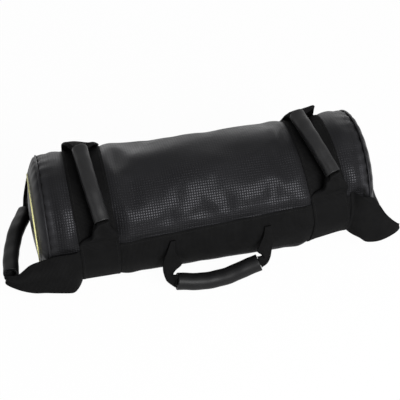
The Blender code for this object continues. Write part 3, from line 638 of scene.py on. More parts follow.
# Hollows and one swell seen in the photo: place along the barrel, angle, depth, reach along and round it
HOLLOW_INSET = 0.012
HOLLOWS = (
    (0.252, 21, 0.0065, 0.024, 0.014),
    (0.150, 96, 0.0022, 0.014, 0.030),
    (-0.262, 52, 0.0020, 0.008, 0.060),
    (-0.035, 60, -0.0026, 0.040, 0.020),
)


def hollows_at(x, angle):
    """The sum of the hollows that the photo shows."""
    total = np.zeros(x.shape)
    for at_x, at_angle, depth, long, round_it in HOLLOWS:
        around = np.radians(turn_between(angle, at_angle)) * RADIUS
        total -= depth * soft_bump(x - at_x, long) * soft_bump(around, round_it)
    return total


def dents_at(x, angle):
    """The sum of the bells, each longer along the barrel than round it, calm on the back of the top."""
    total = np.zeros(x.shape)
    for at_x, at_angle, width, long, rise in zip(DENT_X, DENT_ANGLE, DENT_WIDTH, DENT_LONG, DENT_RISE):
        around = np.radians(turn_between(angle, at_angle)) * RADIUS
        total += rise * np.exp(-(((x - at_x) / long) ** 2 + around**2) / width**2)
    share, middle, spread = BACK_CALM
    quiet = 1 - share * soft_bump(turn_between(angle, middle), spread)
    share, margin = BAND_CALM
    return total * quiet * (1 - share * near_long_band(x, angle, margin))


print(DENT_COUNT, "dents from", DENT_RISE.min().round(5), "to", DENT_RISE.max().round(5))

# %% [markdown]
# The right end isn't full: its top stands up and its lower front hangs in, which also shifts its seam.
# With the sag on top and the settled sand below, the parts add up to the skin's distance from the axis.

# %% The skin's radius
# The slack right end, lifted on top and hanging in below: how far, from where to where, angle and spread
END_LIFT = (0.0060, 0.19, 0.27, 112, 45)
END_SLACK = (0.0150, 0.14, 0.28, -45, 34)
# The top sags beside its middle: how far, where, how long, angle and spread
TOP_SAG = (0.0052, -0.085, 0.055, 100, 38)
# The sand settles, so the cloth swells low on both sides
SETTLE_SWELL = 0.0016
SETTLE_INSET = 0.030
SETTLE_ANGLES = (-48, 228)
SETTLE_SPREAD = 20
# The zip and what a flap covers stay calm
ZIP_CALM = 9
ZIP_MARGIN = 0.020
FLAP_CALM = 0.85
FLAP_MARGIN = 8.0


def end_shape(x, angle):
    """The right end isn't filled: its top is pushed up a little and its lower front hangs slack."""
    lifted, slack = (
        depth * soft_step(x, start, full) * soft_bump(turn_between(angle, middle), spread)
        for depth, start, full, middle, spread in (END_LIFT, END_SLACK)
    )
    return lifted - slack


def along_zip(x):
    """Whether a place along the barrel is at the zip's opening or just past its ends."""
    return np.abs(x - SLOT_MIDDLE) < SLOT_HALF + ZIP_MARGIN


def skin_radius(x, angle):
    """The cloth's distance from the barrel's axis: the radius plus swells, dents, folds and puckers."""
    x, angle = np.broadcast_arrays(np.asarray(x, float), np.asarray(angle, float))
    inset = SEAM_X - np.abs(x)
    drawn, free = drawn_by_girths(x, angle)
    depth, middle, length, top, spread = TOP_SAG
    sag = depth * soft_bump(x - middle, length) * soft_bump(turn_between(angle, top), spread)
    soft = soft_step(inset, *SEAM_MARGIN) * free * (dents_at(x, angle) - sag)
    soft = soft + drawn + drawn_by_long_bands(x, angle) + drawn_by_seams(inset, np.radians(angle))
    settled = sum(soft_bump(turn_between(angle, low), SETTLE_SPREAD) for low in SETTLE_ANGLES)
    soft = soft + SETTLE_SWELL * settled * soft_step(inset, 0.0, SETTLE_INSET)
    calm = soft_bump(turn_between(angle, ZIP_ANGLE), ZIP_CALM) * along_zip(x)
    outside = np.where(x < 0, GIRTHS[0][0] - x, x - GIRTHS[1][0]) > GIRTH_WIDTH / 2
    covered = FLAP_CALM * near_long_band(x, angle, FLAP_MARGIN) * outside
    hollow = hollows_at(x, angle) * soft_step(inset, 0.0, HOLLOW_INSET) * (1 - calm)
    return RADIUS + end_shape(x, angle) + hollow + soft * (1 - np.maximum(calm, covered))


print("skin from", skin_radius(0, 60).round(4), "to", skin_radius(0, 20).round(4))

# %% [markdown]
# A heavy bag flattens where it rests. Pressing every point that would be lower up to the floor gives
# that, and between the girth bands, which lie under the cloth, the cloth hangs down to the floor itself.

# %% Lying on the floor
FLOOR_STEP = 0.002


def lying(points, floor):
    """Points pressed flat where they would reach below the floor."""
    points = points.copy()
    points[..., 2] = np.maximum(points[..., 2], floor)
    return points


def floor_under(x):
    """The height of the cloth's underside: it lies on the floor, or on a girth band."""
    under = np.full_like(x, FLOOR_CLEARANCE)
    for middle, _ in GIRTHS:
        past = np.abs(x - middle) - GIRTH_WIDTH / 2
        under = np.maximum(under, (WEBBING + 2 * GAP) * (1 - soft_step(past, 0.0, FLOOR_STEP)))
    return under


print("underside in the middle and over a girth band", floor_under(np.array([0.0, GIRTHS[0][0]])).round(5))

# %% [markdown]
# Filled cloth is never drawn quite tight. A coarse copy of the skin is run as cloth: it is held where
# bands, seams, the zip or the floor hold it, a little pressure stands for the sand, and it has slightly
# more cloth than its shape needs, so it bulges and creases in between. Only how far each point went in
# or out is kept. It is softened by its neighbours, as thick cloth makes no sharp crease, and is never
# more than the cap, and the fine skin adds that to its own shape.

# %% Slack of the cloth, simulated
SLACK_ROWS = np.linspace(-SEAM_X, SEAM_X, 101)
SLACK_TURNS = np.linspace(0, 357, 120)
SLACK_EXTRA = 0.013
SLACK_PRESSURE = 4.0
SLACK_STIFFNESS = 2.5
SLACK_FRAMES = 20
SLACK_QUALITY = 5
SLACK_CAP = 0.0030
SLACK_SOFTENED = 2
LIES_BELOW = 0.002
# The cloth is held this near to a girth band or a seam, and this many degrees from the zip or a band
HELD_INSET = 0.006
HELD_AT_ZIP = 8
HELD_AT_BAND = 3


def cloth_is_held(x, angle, points):
    """Where the cloth is sewn down, covered by a flap, or lies on the floor."""
    sewn = np.minimum(*(past_girth(x, angle, girth) for girth in GIRTHS)) < HELD_INSET
    at_end = SEAM_X - np.abs(x) < HELD_INSET
    at_zip = (np.abs(turn_between(angle, ZIP_ANGLE)) < HELD_AT_ZIP) & along_zip(x)
    return sewn | at_end | at_zip | (past_long_band(x, angle) < HELD_AT_BAND) | (points[..., 2] < LIES_BELOW)


def softened(slack):
    """Half of each number and a quarter of both its neighbours, round the barrel and then along it."""
    for _ in range(SLACK_SOFTENED):
        slack = (np.roll(slack, 1, axis=1) + 2 * slack + np.roll(slack, -1, axis=1)) / 4
        slack[1:-1] = (slack[:-2] + 2 * slack[1:-1] + slack[2:]) / 4
    return slack


def simulated_slack():
    """How far each point of a coarse skin goes in or out when it is run as cloth."""
    x, angle = grid(SLACK_ROWS, SLACK_TURNS)
    points = lying(on_barrel(x, skin_radius(x, angle), angle), floor_under(x))
    index = np.arange(x.size).reshape(x.shape)
    mesh = bpy.data.meshes.new("slack")
    round_it = cells(np.hstack([index, index[:, :1]]))
    mesh.from_pydata(points.reshape(-1, 3).tolist(), [], round_it.reshape(-1, 4).tolist())
    coarse = in_scene("slack", mesh)
    scene = bpy.context.scene
    held = coarse.vertex_groups.new(name="held")
    held.add(np.flatnonzero(cloth_is_held(x, angle, points)).tolist(), 1.0, "REPLACE")
    cloth = coarse.modifiers.new("cloth", "CLOTH")
    cloth.settings.quality = SLACK_QUALITY
    cloth.settings.bending_stiffness = SLACK_STIFFNESS
    cloth.settings.vertex_group_mass = "held"
    cloth.settings.shrink_min = -SLACK_EXTRA
    cloth.settings.use_pressure = True
    cloth.settings.uniform_pressure_force = SLACK_PRESSURE
    cloth.settings.effector_weights.gravity = 0
    cloth.collision_settings.use_collision = False
    for step in range(1, SLACK_FRAMES + 1):
        scene.frame_set(step)
    moved = coarse.evaluated_get(bpy.context.evaluated_depsgraph_get()).to_mesh()
    places = np.empty(points.size, np.float32)
    moved.vertices.foreach_get("co", places)
    gone = places.reshape(points.shape) - points
    scene.frame_set(1)
    bpy.data.objects.remove(coarse)
    out = on_barrel(0 * x, 1, angle) - np.array((0, 0, AXIS_Z))
    slack = (gone * out).sum(axis=-1)
    print("slack from", slack.min().round(5), "to", slack.max().round(5), "mean", slack.mean().round(5))
    return np.clip(softened(slack), -SLACK_CAP, SLACK_CAP)


def spread_out(slack, rows, turns):
    """The coarse numbers read along these rows and turns, in straight lines between their points."""
    along = np.stack([np.interp(rows, SLACK_ROWS, column) for column in slack.T], axis=1)
    return np.stack([np.interp(turns, SLACK_TURNS, row, period=360) for row in along])


SLACK = simulated_slack()
print("slack kept from", SLACK.min().round(5), "to", SLACK.max().round(5))

# %% [markdown]
# The barrel's skin is that function on a grid. Two of the grid's lines are moved onto the edges of the
# zip's opening, and the cells inside it are left out, so the opening has straight edges without a cut.
# Solidify then gives the cloth its wall.


# %% Barrel skin
SKIN_ROWS = 191
SKIN_COLUMNS = 241


def barrel_skin():
    """A grid at the skin's radius plus the slack, with the cells inside the zip's opening left out."""
    rows = np.linspace(-SEAM_X, SEAM_X, SKIN_ROWS)
    turns = np.linspace(0, 360, SKIN_COLUMNS)
    slot_turn = math.degrees(math.asin(ZIP_SLOT / 2 / RADIUS))
    for edge in (ZIP_ANGLE - slot_turn, ZIP_ANGLE + slot_turn):
        turns[np.abs(turns - edge).argmin()] = edge
    for edge in (SLOT_MIDDLE - SLOT_HALF, SLOT_MIDDLE + SLOT_HALF):
        rows[np.abs(rows - edge).argmin()] = edge
    x, angle = grid(rows, turns)
    radius = skin_radius(x, angle) + spread_out(SLACK, rows, turns)
    points = lying(on_barrel(x, radius, angle), floor_under(x))
    lengths = np.stack([x, np.radians(angle) * RADIUS], axis=-1)
    middle_x = (x[:-1, :-1] + x[1:, 1:]) / 2
    middle_turn = (angle[:-1, :-1] + angle[1:, 1:]) / 2
    in_slot = (np.abs(middle_x - SLOT_MIDDLE) < SLOT_HALF) & (np.abs(middle_turn - ZIP_ANGLE) < slot_turn)
    mesh = surface("barrel_skin", points, lengths, keep=~in_slot, closed=False)
    skin = place("barrel_skin", mesh, "bag", CLOTH, ["barrel_shell"])
    add_wall(skin, SKIN)


barrel_skin()

# %% [markdown]
# Each end is a disc of plain cloth, sewn in under tension so that it domes and puckers at its rim. A
# cord in a fold of cloth, the welt, covers the seam. The thin yellow ring is a second piping, on the left
# dome alone. Part of a sphere would meet the seam too gently, so the rise is a power of the radius,
# steep at the rim and nearly flat in the middle.


# %% Domed ends, welts and the yellow ring
ring_low, ring_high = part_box("left_end_ring")
RING_WIRE = (ring_high.x - ring_low.x) / 2
RING_RADIUS = (ring_high.z - ring_low.z) / 2 - RING_WIRE
RING_WANDER = 0.0002
WELT_WIRE = 0.0018
WELT_INSET = 0.0008
WELT_WANDER = 0.0003
DOME_COLUMNS = 193
DOME_ROWS = 60
DOME_ROW_POWER = 0.8
DOME_INSET = 0.0012
DOME_PUCKER = 0.0011
DOME_PUCKER_COUNT = 31
DOME_PUCKER_REACH = 0.09
# Inside this share of the radius the dome has its puckers, and near the ring it lies calm
DOME_EDGE = 0.995
RING_CALM = 0.06
# How far the middle sinks, where and how wide, as shares of the radius
DOME_SLACK = (0.0016, 0.4, 0.25)


def dome_rise(share):
    """How far the dome stands out of its seam, at this share of its radius."""
    return np.maximum(1 - share * share, 0) ** DOME_POWER


def ring_of(x, major, minor, waves):
    """A torus round the barrel's axis whose major radius waves a little, as sewn piping does."""
    angle, around = grid(np.linspace(0, 360, DOME_COLUMNS), np.linspace(0, 360, 15))
    turn = np.radians(around)
    wander = waves * np.sin(np.radians(angle) * 5 + 0.7)
    points = on_barrel(x + minor * np.sin(turn), major + wander + minor * np.cos(turn), angle)
    lengths = np.stack([np.radians(angle) * RADIUS, turn * minor], axis=-1)
    return points, lengths


def seam_radius(side, angle):
    """The radius of the right or left end seam, which the slack right end pulls out of round."""
    return RADIUS + end_shape(np.full(angle.shape, side * SEAM_X), angle)


def end_dome(side, label):
    """A disc that rises by the dome's rule, with slack in its middle and puckers that die away inwards."""
    share, angle = grid(np.linspace(0, 1, DOME_ROWS) ** DOME_ROW_POWER, np.linspace(0, 360, DOME_COLUMNS))
    turn = np.radians(angle)
    calm = 1 - soft_bump(share - RING_RADIUS / RADIUS, RING_CALM)
    pucker = DOME_PUCKER * np.sin(DOME_PUCKER_COUNT * turn + 2 * np.sin(3 * turn))
    pucker = pucker * np.exp((share - 1) / DOME_PUCKER_REACH)
    sunk, middle, width = DOME_SLACK
    slack = -sunk * (0.5 + 0.5 * np.sin(2 * turn + 1.0)) * soft_bump(share - middle, width)
    rise = DOME_DEPTH * dome_rise(share) + (pucker * (share < DOME_EDGE) + slack) * calm
    points = on_barrel(side * (SEAM_X + GAP + rise), (seam_radius(side, angle) - DOME_INSET) * share, angle)
    points = lying(points, FLOOR_CLEARANCE)
    lengths = np.stack([share * RADIUS * np.cos(turn), share * RADIUS * np.sin(turn)], axis=-1)
    if side > 0:
        points, lengths = points[::-1], lengths[::-1]
    mesh = surface(label + "_dome", points, lengths, closed=False)
    dome = place(label + "_dome", mesh, "bag", PLAIN_CLOTH, [label + "_end_panel"])
    add_wall(dome, SKIN)
    rim = seam_radius(side, np.linspace(0, 360, DOME_COLUMNS)[:, None])
    points, lengths = ring_of(side * (SEAM_X + GAP), rim - WELT_INSET, WELT_WIRE, WELT_WANDER)
    mesh = surface(label + "_seam_welt", lying(points, FLOOR_CLEARANCE), lengths)
    place(label + "_seam_welt", mesh, "bag", PLAIN_CLOTH)


end_dome(-1, "left")
end_dome(1, "right")
points, lengths = ring_of((ring_low.x + ring_high.x) / 2, RING_RADIUS, RING_WIRE, RING_WANDER)
mesh = surface("left_piping_ring", points, lengths)
place("left_piping_ring", mesh, "bag", YELLOW, ["left_end_ring"])

# %% [markdown]
# A strap's section is a thin bar with rounded selvedges that are a little thicker than its middle. The
# same section is carried along every strap: round the barrel for the girth bands, along it for the long
# bands, and between two edge curves for the loose webbing.
# A box bent by modifiers could do it too, but this way both selvedges stay true on every strap.


# %% Webbing section
STATIONS = 28
SECTION_POWER = 24
SELVEDGE_AT = 0.93
SELVEDGE_WIDTH = 0.05
SELVEDGE_RISE = 0.10
ACROSS_TOP = np.cos(np.linspace(math.pi, 0, STATIONS))
RING = np.concatenate([np.arange(STATIONS), np.arange(STATIONS)[::-1], [0]])


def webbing_section():
    """The section as shares: across from -1 to 1, and height from 0 below to 1 on top, closed."""
    across = ACROSS_TOP
    edge = soft_bump(np.abs(across) - SELVEDGE_AT, SELVEDGE_WIDTH)
    round_off = np.sqrt(np.maximum(1 - np.abs(across) ** SECTION_POWER, 0))
    top = 0.5 + round_off * (0.46 + SELVEDGE_RISE * edge)
    bottom = 0.5 - round_off * 0.5
    across = np.concatenate([across, across[::-1]])
    height = np.concatenate([top, bottom[::-1]])
    return np.append(across, across[0]), np.append(height, height[0])


ACROSS, HEIGHT = webbing_section()
print("section of", len(ACROSS) - 1, "points")


# %% [markdown]
# The long bands follow the cloth, a gap above it. The girth bands do too, and step over the long bands
# in a soft ramp. Both are sewn down, with a row of stitches along each edge. A stitch is a small bead,
# and a row of them is one array: the bead's points, turned and moved to every place of the row.
# Hundreds of separate objects would be slow to handle and to export.


# %% Rows of stitches
STITCH_LENGTH = 0.0030
STITCH_PITCH = 0.0040
STITCH_WIDTH = 0.0009
STITCH_HEIGHT = 0.0006
BEAD_RINGS = 5
BEAD_SIDES = 6


def stitch_row(name, centres, ways, outs, body):
    """Beads along a line: each is a lens of a few rings and sides, scaled by the stitch's three sizes."""
    ring, side = grid(np.linspace(-1, 1, BEAD_RINGS), np.arange(BEAD_SIDES) * 2 * math.pi / BEAD_SIDES)
    fat = np.sqrt(np.maximum(1 - ring**2, 0.02))
    along = ring.ravel() * STITCH_LENGTH / 2
    aside = (fat * np.cos(side)).ravel() * STITCH_WIDTH / 2
    above = (fat * np.sin(side)).ravel() * STITCH_HEIGHT
    sides = unit(np.cross(outs, ways))
    points = centres[:, None] + along[:, None] * ways[:, None]
    points = points + aside[:, None] * sides[:, None] + above[:, None] * outs[:, None]
    index = np.arange(ring.size).reshape(ring.shape)
    quads = cells(np.hstack([index, index[:, :1]])).reshape(-1, 4)
    ends = [index[0].tolist(), index[-1][::-1].tolist()]
    starts = np.arange(len(centres)) * ring.size
    faces = (quads[None] + starts[:, None, None]).reshape(-1, 4).tolist()
    faces += [[corner + start for corner in end] for start in starts.tolist() for end in ends]
    local = np.tile(np.stack([along, aside], axis=-1), (len(centres), 1))
    return place(name, whole_mesh(name, points, faces, local), body, THREAD)


def along_line(points):
    """Places every stitch pitch along a line of points, and the way the line runs there."""
    reach = reach_of(points)
    where = np.arange(STITCH_PITCH / 2, reach[-1], STITCH_PITCH)
    places = np.stack([np.interp(where, reach, points[:, axis]) for axis in range(3)], axis=-1)
    return places, unit(np.gradient(places, axis=0))


def outwards(points):
    """The direction away from the barrel's axis."""
    away = points - np.array((0, 0, AXIS_Z))
    away[:, 0] = 0
    return unit(away)


print("a stitch every", STITCH_PITCH, "m, each of", BEAD_RINGS * BEAD_SIDES, "points")

# %% [markdown]
# A long band is a strap laid along the barrel at its twisting angle, and a girth band is one laid round
# it. Both could be shrink-wrapped onto the skin, but the skin's own function says how far out it lies,
# which fits exactly and leaves the strap's section whole.

# %% Long bands and girth bands
SEW_IN = 0.0040
CLIMB_ANGLE = 3.5
LONG_BAND_ROWS = 160
GIRTH_COLUMNS = 241
GIRTH_SEWN_ANGLES = (-55, 235)
BAND_CLEARANCE = 0.0001


def sewn_rows(label, lines):
    """Stitches along both edges of a band: the places of each row, one after the other."""
    centres, ways = (np.concatenate(part) for part in zip(*(along_line(line) for line in lines)))
    stitch_row(label + "_stitches", centres, ways, outwards(centres), "bag")


def over_long_band(x, angle):
    """How much higher a girth band lies at this point because a long band runs under it."""
    return (WEBBING + GAP) * near_long_band(x, angle, CLIMB_ANGLE)


def girth_end(side):
    """Where a long band ends: at the outer edge of the girth band."""
    return GIRTHS[int(side > 0)][0] + side * GIRTH_WIDTH / 2


def long_band(label, own):
    """The strap section laid on the skin along the band's angle, with a row of stitches in each edge."""
    x, across = grid(np.linspace(girth_end(-1), girth_end(1), LONG_BAND_ROWS), ACROSS)
    angle = band_angle(x, own) + across * BAND_HALF_ANGLE
    points = on_barrel(x, skin_radius(x, angle) + GAP + WEBBING * HEIGHT, angle)
    mesh = surface(label, points, np.stack([x, across * LONG_BAND_WIDTH / 2], axis=-1), caps="pair")
    place(label + "_webbing", mesh, "bag", WEB, [label])
    inner = np.linspace(GIRTHS[0][0] + GIRTH_WIDTH / 2, GIRTHS[1][0] - GIRTH_WIDTH / 2, 200)
    lines = []
    for side in (-1, 1):
        turn = band_angle(inner, own) + side * (BAND_HALF_ANGLE - math.degrees(SEW_IN / RADIUS))
        lines.append(on_barrel(inner, skin_radius(inner, turn) + GAP + WEBBING, turn))
    sewn_rows(label, lines)


def girth_band(label, girth):
    """The strap section carried round the skin, up over the long bands and flat on the floor."""
    middle, skew = girth
    angle, across = grid(np.linspace(0, 360, GIRTH_COLUMNS), ACROSS)
    x = middle - girth_lean(skew, angle) + across * GIRTH_WIDTH / 2
    base = skin_radius(x, angle) + GAP + over_long_band(x, angle)
    points = on_barrel(x, base + WEBBING * HEIGHT, angle)
    points = lying(points, (1 - HEIGHT) * WEBBING + BAND_CLEARANCE)
    lengths = np.stack([np.radians(angle) * RADIUS, across * GIRTH_WIDTH / 2], axis=-1)
    place(label + "_webbing", surface(label, points, lengths), "bag", WEB, [label])
    sewn = np.linspace(*GIRTH_SEWN_ANGLES, 400)
    lines = []
    for side in (-1, 1):
        x = middle - girth_lean(skew, sewn) + side * (GIRTH_WIDTH / 2 - SEW_IN)
        top = skin_radius(x, sewn) + GAP + over_long_band(x, sewn) + WEBBING
        lines.append(on_barrel(x, top, sewn))
    sewn_rows(label, lines)


long_band("front_band", 0)
long_band("back_band", 180)
girth_band("left_girth_band", GIRTHS[0])
girth_band("right_girth_band", GIRTHS[1])

# %% [markdown]
# A grip is a rubber tube pulled over rolled webbing. Its outline, from one end face over the rounded
# rims to the bore and back, is carried round the handle's own curved line. The section isn't quite
# round: squeezed rubber has two soft shoulders, which give the two long highlights. A thin mould line
# runs along it. A curve with a round bevel would give a plain pipe, without the rims or the bore.

# %% Sleeves and cores
CORE_RADIUS = 0.0070
CORE_HEART = 0.0022
CORE_OUT = 0.0035
ROLL_TURNS = 2.6
GRIP_SEAT = 0.0006
RIM = 0.0012
SHOULDER_POWER = 2.35
SLEEVE_FILL = 0.985
MOULD_LINE = 0.00035
MOULD_ANGLE = 250
MOULD_WIDTH = 4
SQUEEZE = 0.00022
SQUEEZE_WAVES = 210
GRIP_STEPS = 65


def along_path(path, where, reference):
    """Points and the two side directions at these lengths along a path."""
    reach = reach_of(path)
    ahead = unit(np.gradient(path, reach, axis=0))
    spots = np.stack([np.interp(where, reach, path[:, axis]) for axis in range(3)], axis=-1)
    way = unit(np.stack([np.interp(where, reach, ahead[:, axis]) for axis in range(3)], axis=-1))
    aside = unit(np.cross(way, reference))
    return spots, aside, np.cross(aside, way)


def round_path(path, where, reference, reach, turn):
    """Points round a path: its point plus reach times the cosine aside and the sine upwards."""
    spots, aside, up = (part[:, None] for part in along_path(path, where, reference))
    return spots + reach[..., None] * (np.cos(turn)[:, None] * aside + np.sin(turn)[:, None] * up)


def sleeve(name, path, radius, reference, body, look):
    """A tube whose outline is carried round the path; its section is a soft square."""
    length = reach_of(path)[-1]
    quarter = np.linspace(0, math.pi / 2, 6)
    rim_x = RIM * (1 - np.cos(quarter))
    rim_r = radius - RIM + RIM * np.sin(quarter)
    run = np.linspace(RIM, length - RIM, 72)[1:-1]
    back = np.linspace(length, 0, 24)
    where = np.concatenate([rim_x, run, length - rim_x[::-1], back, rim_x[:1]])
    bore = np.full(len(back), CORE_RADIUS + GAP)
    size = np.concatenate([rim_r, np.full(len(run), radius), rim_r[::-1], bore, rim_r[:1]])
    outer = np.ones((len(where), 1))
    outer[-1 - len(back):-1] = 0
    turn = np.linspace(0, 2 * math.pi, 49)
    both = np.abs(np.cos(turn)) ** SHOULDER_POWER + np.abs(np.sin(turn)) ** SHOULDER_POWER
    factor = 1 + outer * (SLEEVE_FILL * both ** (-1 / SHOULDER_POWER) - 1)
    mould = MOULD_LINE * soft_bump(turn_between(np.degrees(turn), MOULD_ANGLE), MOULD_WIDTH)
    squeeze = SQUEEZE * np.sin(where[:, None] * SQUEEZE_WAVES + 2 * np.sin(turn))
    reach = size[:, None] * factor + outer * (squeeze - mould)
    points = round_path(path, where, reference, reach, turn)
    lengths = np.stack(np.broadcast_arrays(where[:, None], (turn * radius)[None]), axis=-1)
    made = place(name + "_sleeve", surface(name, points, lengths), body, look, [name])


def rolled_core(name, path, reference, body):
    """Webbing rolled up: a strip whose section is a spiral, carried along the path."""
    turn = np.linspace(0, 2 * math.pi * ROLL_TURNS, 72)
    outer = CORE_HEART + (CORE_RADIUS - CORE_HEART) * turn / turn[-1]
    radius = np.concatenate([outer, (outer - WEBBING)[::-1], outer[:1]])
    around = np.concatenate([turn, turn[::-1], turn[:1]])
    before = path[:1] - unit(path[1] - path[0]) * CORE_OUT
    after = path[-1:] + unit(path[-1] - path[-2]) * CORE_OUT
    longer = np.concatenate([before, path, after])
    where = np.linspace(0, reach_of(longer)[-1], 28)
    points = round_path(longer, where, reference, radius[None], around)
    lengths = np.stack(np.broadcast_arrays(where[:, None], (around * radius)[None]), axis=-1)
    mesh = surface(name, points, lengths, caps="pair")
    place(name + "_roll", mesh, body, WEB, [name])


def grip(label, path, radius, reference, body, look=RUBBER):
    """A sleeve and the rolled core in it, along the same path."""
    sleeve(label + "_grip", path, radius, reference, body, look)
    rolled_core(label + "_webbing_core", path, reference, body)


def grip_end(path, at_end):
    """The point just off the sleeve's end face and the direction that points out of it."""
    if at_end:
        way = unit(path[-1] - path[-2])
        return path[-1] + way * GRIP_SEAT, way
    way = unit(path[0] - path[1])
    return path[0] + way * GRIP_SEAT, way


print("a core of", round(2 * CORE_RADIUS, 4), "m, rolled", ROLL_TURNS, "turns")

# %% [markdown]
# Loose webbing hangs between two edge curves, which nearly are the solid's own. The sheet between them
# gets what cloth does: it cups a little, and where it narrows into a grip it gathers into soft folds. The
# strap section then goes on both sides of that sheet, along its normals.
# Draped by a simulation, its edges would go where they like, and not where the photo shows them.


# %% Loose webbing
GATHER_FADES = (0.86, 0.98)
LOOSE_STEPS = 61


def between_edges(table):
    """The middle sheet, rows by stations, of a table of first edge, second edge and thickness."""
    first, second = table[:, None, :3], table[:, None, 3:6]
    return (first + second) / 2 + ACROSS_TOP[:, None] * (first - second) / 2


def soft_folds(rows, count, depth, cup, start=0.15, end=0.75):
    """Folds that rise as a wave across between two shares of the length and fade before the grip."""
    row = np.linspace(0, 1, rows)[:, None]
    gather = soft_step(row, start, end) * (1 - soft_step(row, *GATHER_FADES))
    wave = np.cos(ACROSS_TOP * math.pi * count + 1.5 * row)
    return depth * gather * wave + cup * (1 - ACROSS_TOP**2) * np.sin(row * math.pi)


def loose_webbing(name, sheet, thickness, last_way, folds, body, nodes):
    """The strap section carried along a sheet, lifted by its folds; last_way is where it ends."""
    along = np.gradient(sheet, axis=0)
    along[-1] = last_way
    out = unit(np.cross(along, np.gradient(sheet, axis=1)))
    high = (HEIGHT - 0.5) * thickness[:, None] + folds[:, RING]
    points = sheet[:, RING] + high[..., None] * out[:, RING]
    width = np.linalg.norm(sheet[:, -1] - sheet[:, 0], axis=1, keepdims=True) / 2
    steps = reach_of(sheet[:, [0, -1]].mean(axis=1))
    lengths = np.stack([np.broadcast_to(steps[:, None], high.shape), ACROSS * width], axis=-1)
    mesh = surface(name, points, lengths, caps="pair")
    return place(name + "_webbing", mesh, body, WEB, nodes)


print("a fold of 1 mm rises to", soft_folds(LOOSE_STEPS, 1.5, 0.0010, 0.0).max().round(5))

# %% [markdown]
# The carry handle hangs in front: its line runs along the grip, and an arm of folded webbing joins each
# end to the upper edge of the front band. The arms' edges are written as shares of the handle's drop, so
# they keep their shape if it is made longer.

# %% Carry handle
CARRY_HINGE_HEIGHT = 0.010
CARRY_LEAN = 0.0102
CARRY_HALF_LENGTH = 0.0735
CARRY_MIDDLE_X = 0.0045
CARRY_DROP = 0.0992
CARRY_RADIUS = 0.0145
END_SPREAD = 0.92
CARRY_GRIP = ((-1.0, 0.892), (-0.388, 0.984), (0.17, 0.962), (0.619, 0.855), (1.0, 0.761))
LEFT_ARM = (
    ((0.071, -0.005), (-0.010, -0.005)),
    ((0.151, 0.222), (0.005, 0.202)),
    ((0.222, 0.423), (-0.071, 0.393)),
    ((0.232, 0.544), (-0.101, 0.524)),
    ((0.222, 0.685), (0.010, 0.625)),
    ((0.171, 0.867), (0.055, 0.716)),
)
RIGHT_ARM = (
    ((0.202, -0.005), (0.091, -0.005)),
    ((0.232, 0.181), (0.066, 0.181)),
    ((0.242, 0.383), (-0.010, 0.403)),
    ((0.222, 0.524), (-0.040, 0.514)),
    ((0.202, 0.665), (0.030, 0.595)),
    ((0.151, 0.796), (0.045, 0.635)),
)
ARM_FOLDS = (1.5, 0.0010, 0.0008)
CARRY_SEAT = math.sqrt((GIRTH_TOP + GAP) ** 2 - CARRY_HINGE_HEIGHT**2)
CARRY_Y = -(CARRY_SEAT + FOLDED / 2)


def carry_place(out, below):
    """A point of the carry handle: how far along the barrel it is, and how far under its hinge."""
    return np.array((out, CARRY_Y - CARRY_LEAN * below / CARRY_DROP, AXIS_Z + CARRY_HINGE_HEIGHT - below))


def carry_arm(label, side, rows, path, at_end):
    """Folded webbing between two edge curves, from the front band to a cut across the grip's end."""
    end, way = grip_end(path, at_end)
    grip_x = CARRY_MIDDLE_X + side * CARRY_HALF_LENGTH
    edges = [
        [carry_place(grip_x + side * out * CARRY_DROP, below * CARRY_DROP) for out, below in edge]
        for edge in zip(*rows)
    ]
    down = unit(np.array((0, 0, -1.0)) + way * way[2]) * CARRY_RADIUS * END_SPREAD
    outer = np.array([*edges[0], end + down])
    inner = np.array([*edges[1], end - down])
    thickness = [FOLDED] * (len(outer) - 1) + [2 * FOLDED]
    table = smooth(np.column_stack([outer, inner, thickness]), LOOSE_STEPS)
    folds = soft_folds(len(table), *ARM_FOLDS)
    loose_webbing(label, between_edges(table), table[:, 6], -way, folds, "carry_handle", [label])


def carry_handle():
    """The grip along a curve through its five places, and an arm at each of its ends."""
    places = [
        carry_place(CARRY_MIDDLE_X + CARRY_HALF_LENGTH * out, CARRY_DROP * below)
        for out, below in CARRY_GRIP
    ]
    coarse = smooth(places, 9)
    # The carry grip uses the darker rubber copy, whose darker colour is painted shade.
    grip("carry_handle", smooth(places, GRIP_STEPS), CARRY_RADIUS, (0, -1.0, 0), "carry_handle", SHADED_RUBBER)
    carry_arm("carry_handle_left_arm", -1, LEFT_ARM, coarse, False)
    carry_arm("carry_handle_right_arm", 1, RIGHT_ARM, coarse, True)


carry_handle()

# %% [markdown]
# An end handle is a loop: the long band runs on past the girth band as a flap, narrows, and enters a
# grip that crosses the end. The front flap shows, and the back one is made alike. A flap's root is
# sewn down and its other end enters the grip, and the flap itself rides on neither body.

# %% End handles
END_RADIUS = 0.0135
FLAP_TILT = 0.37
FLAP_STEPS = 81
STEP_ANGLE = 7.5
FLAP_STAND = 0.0012
WELT_REACH = 0.012
# How far past its root a front or a back flap begins to leave the round of the barrel, and has left it
LEFT_LEAVES = (0.000, 0.022)
RIGHT_LEAVES = (0.006, 0.034)
BACK_LEAVES = (0.035, 0.062)
# A grip's place is how far it stands off the dome, across and up, in barrel radii
LEFT_GRIP = (
    (0.270, -0.727, -0.376), (0.255, -0.455, -0.366), (0.208, -0.164, -0.363),
    (0.122, 0.145, -0.332), (0.023, 0.409, -0.354), (-0.064, 0.636, -0.380),
)
RIGHT_GRIP = (
    (0.081, -0.764, -0.709), (0.072, -0.527, -0.691), (0.045, -0.255, -0.6),
    (0.004, 0.018, -0.436), (0.004, 0.255, -0.236),
)
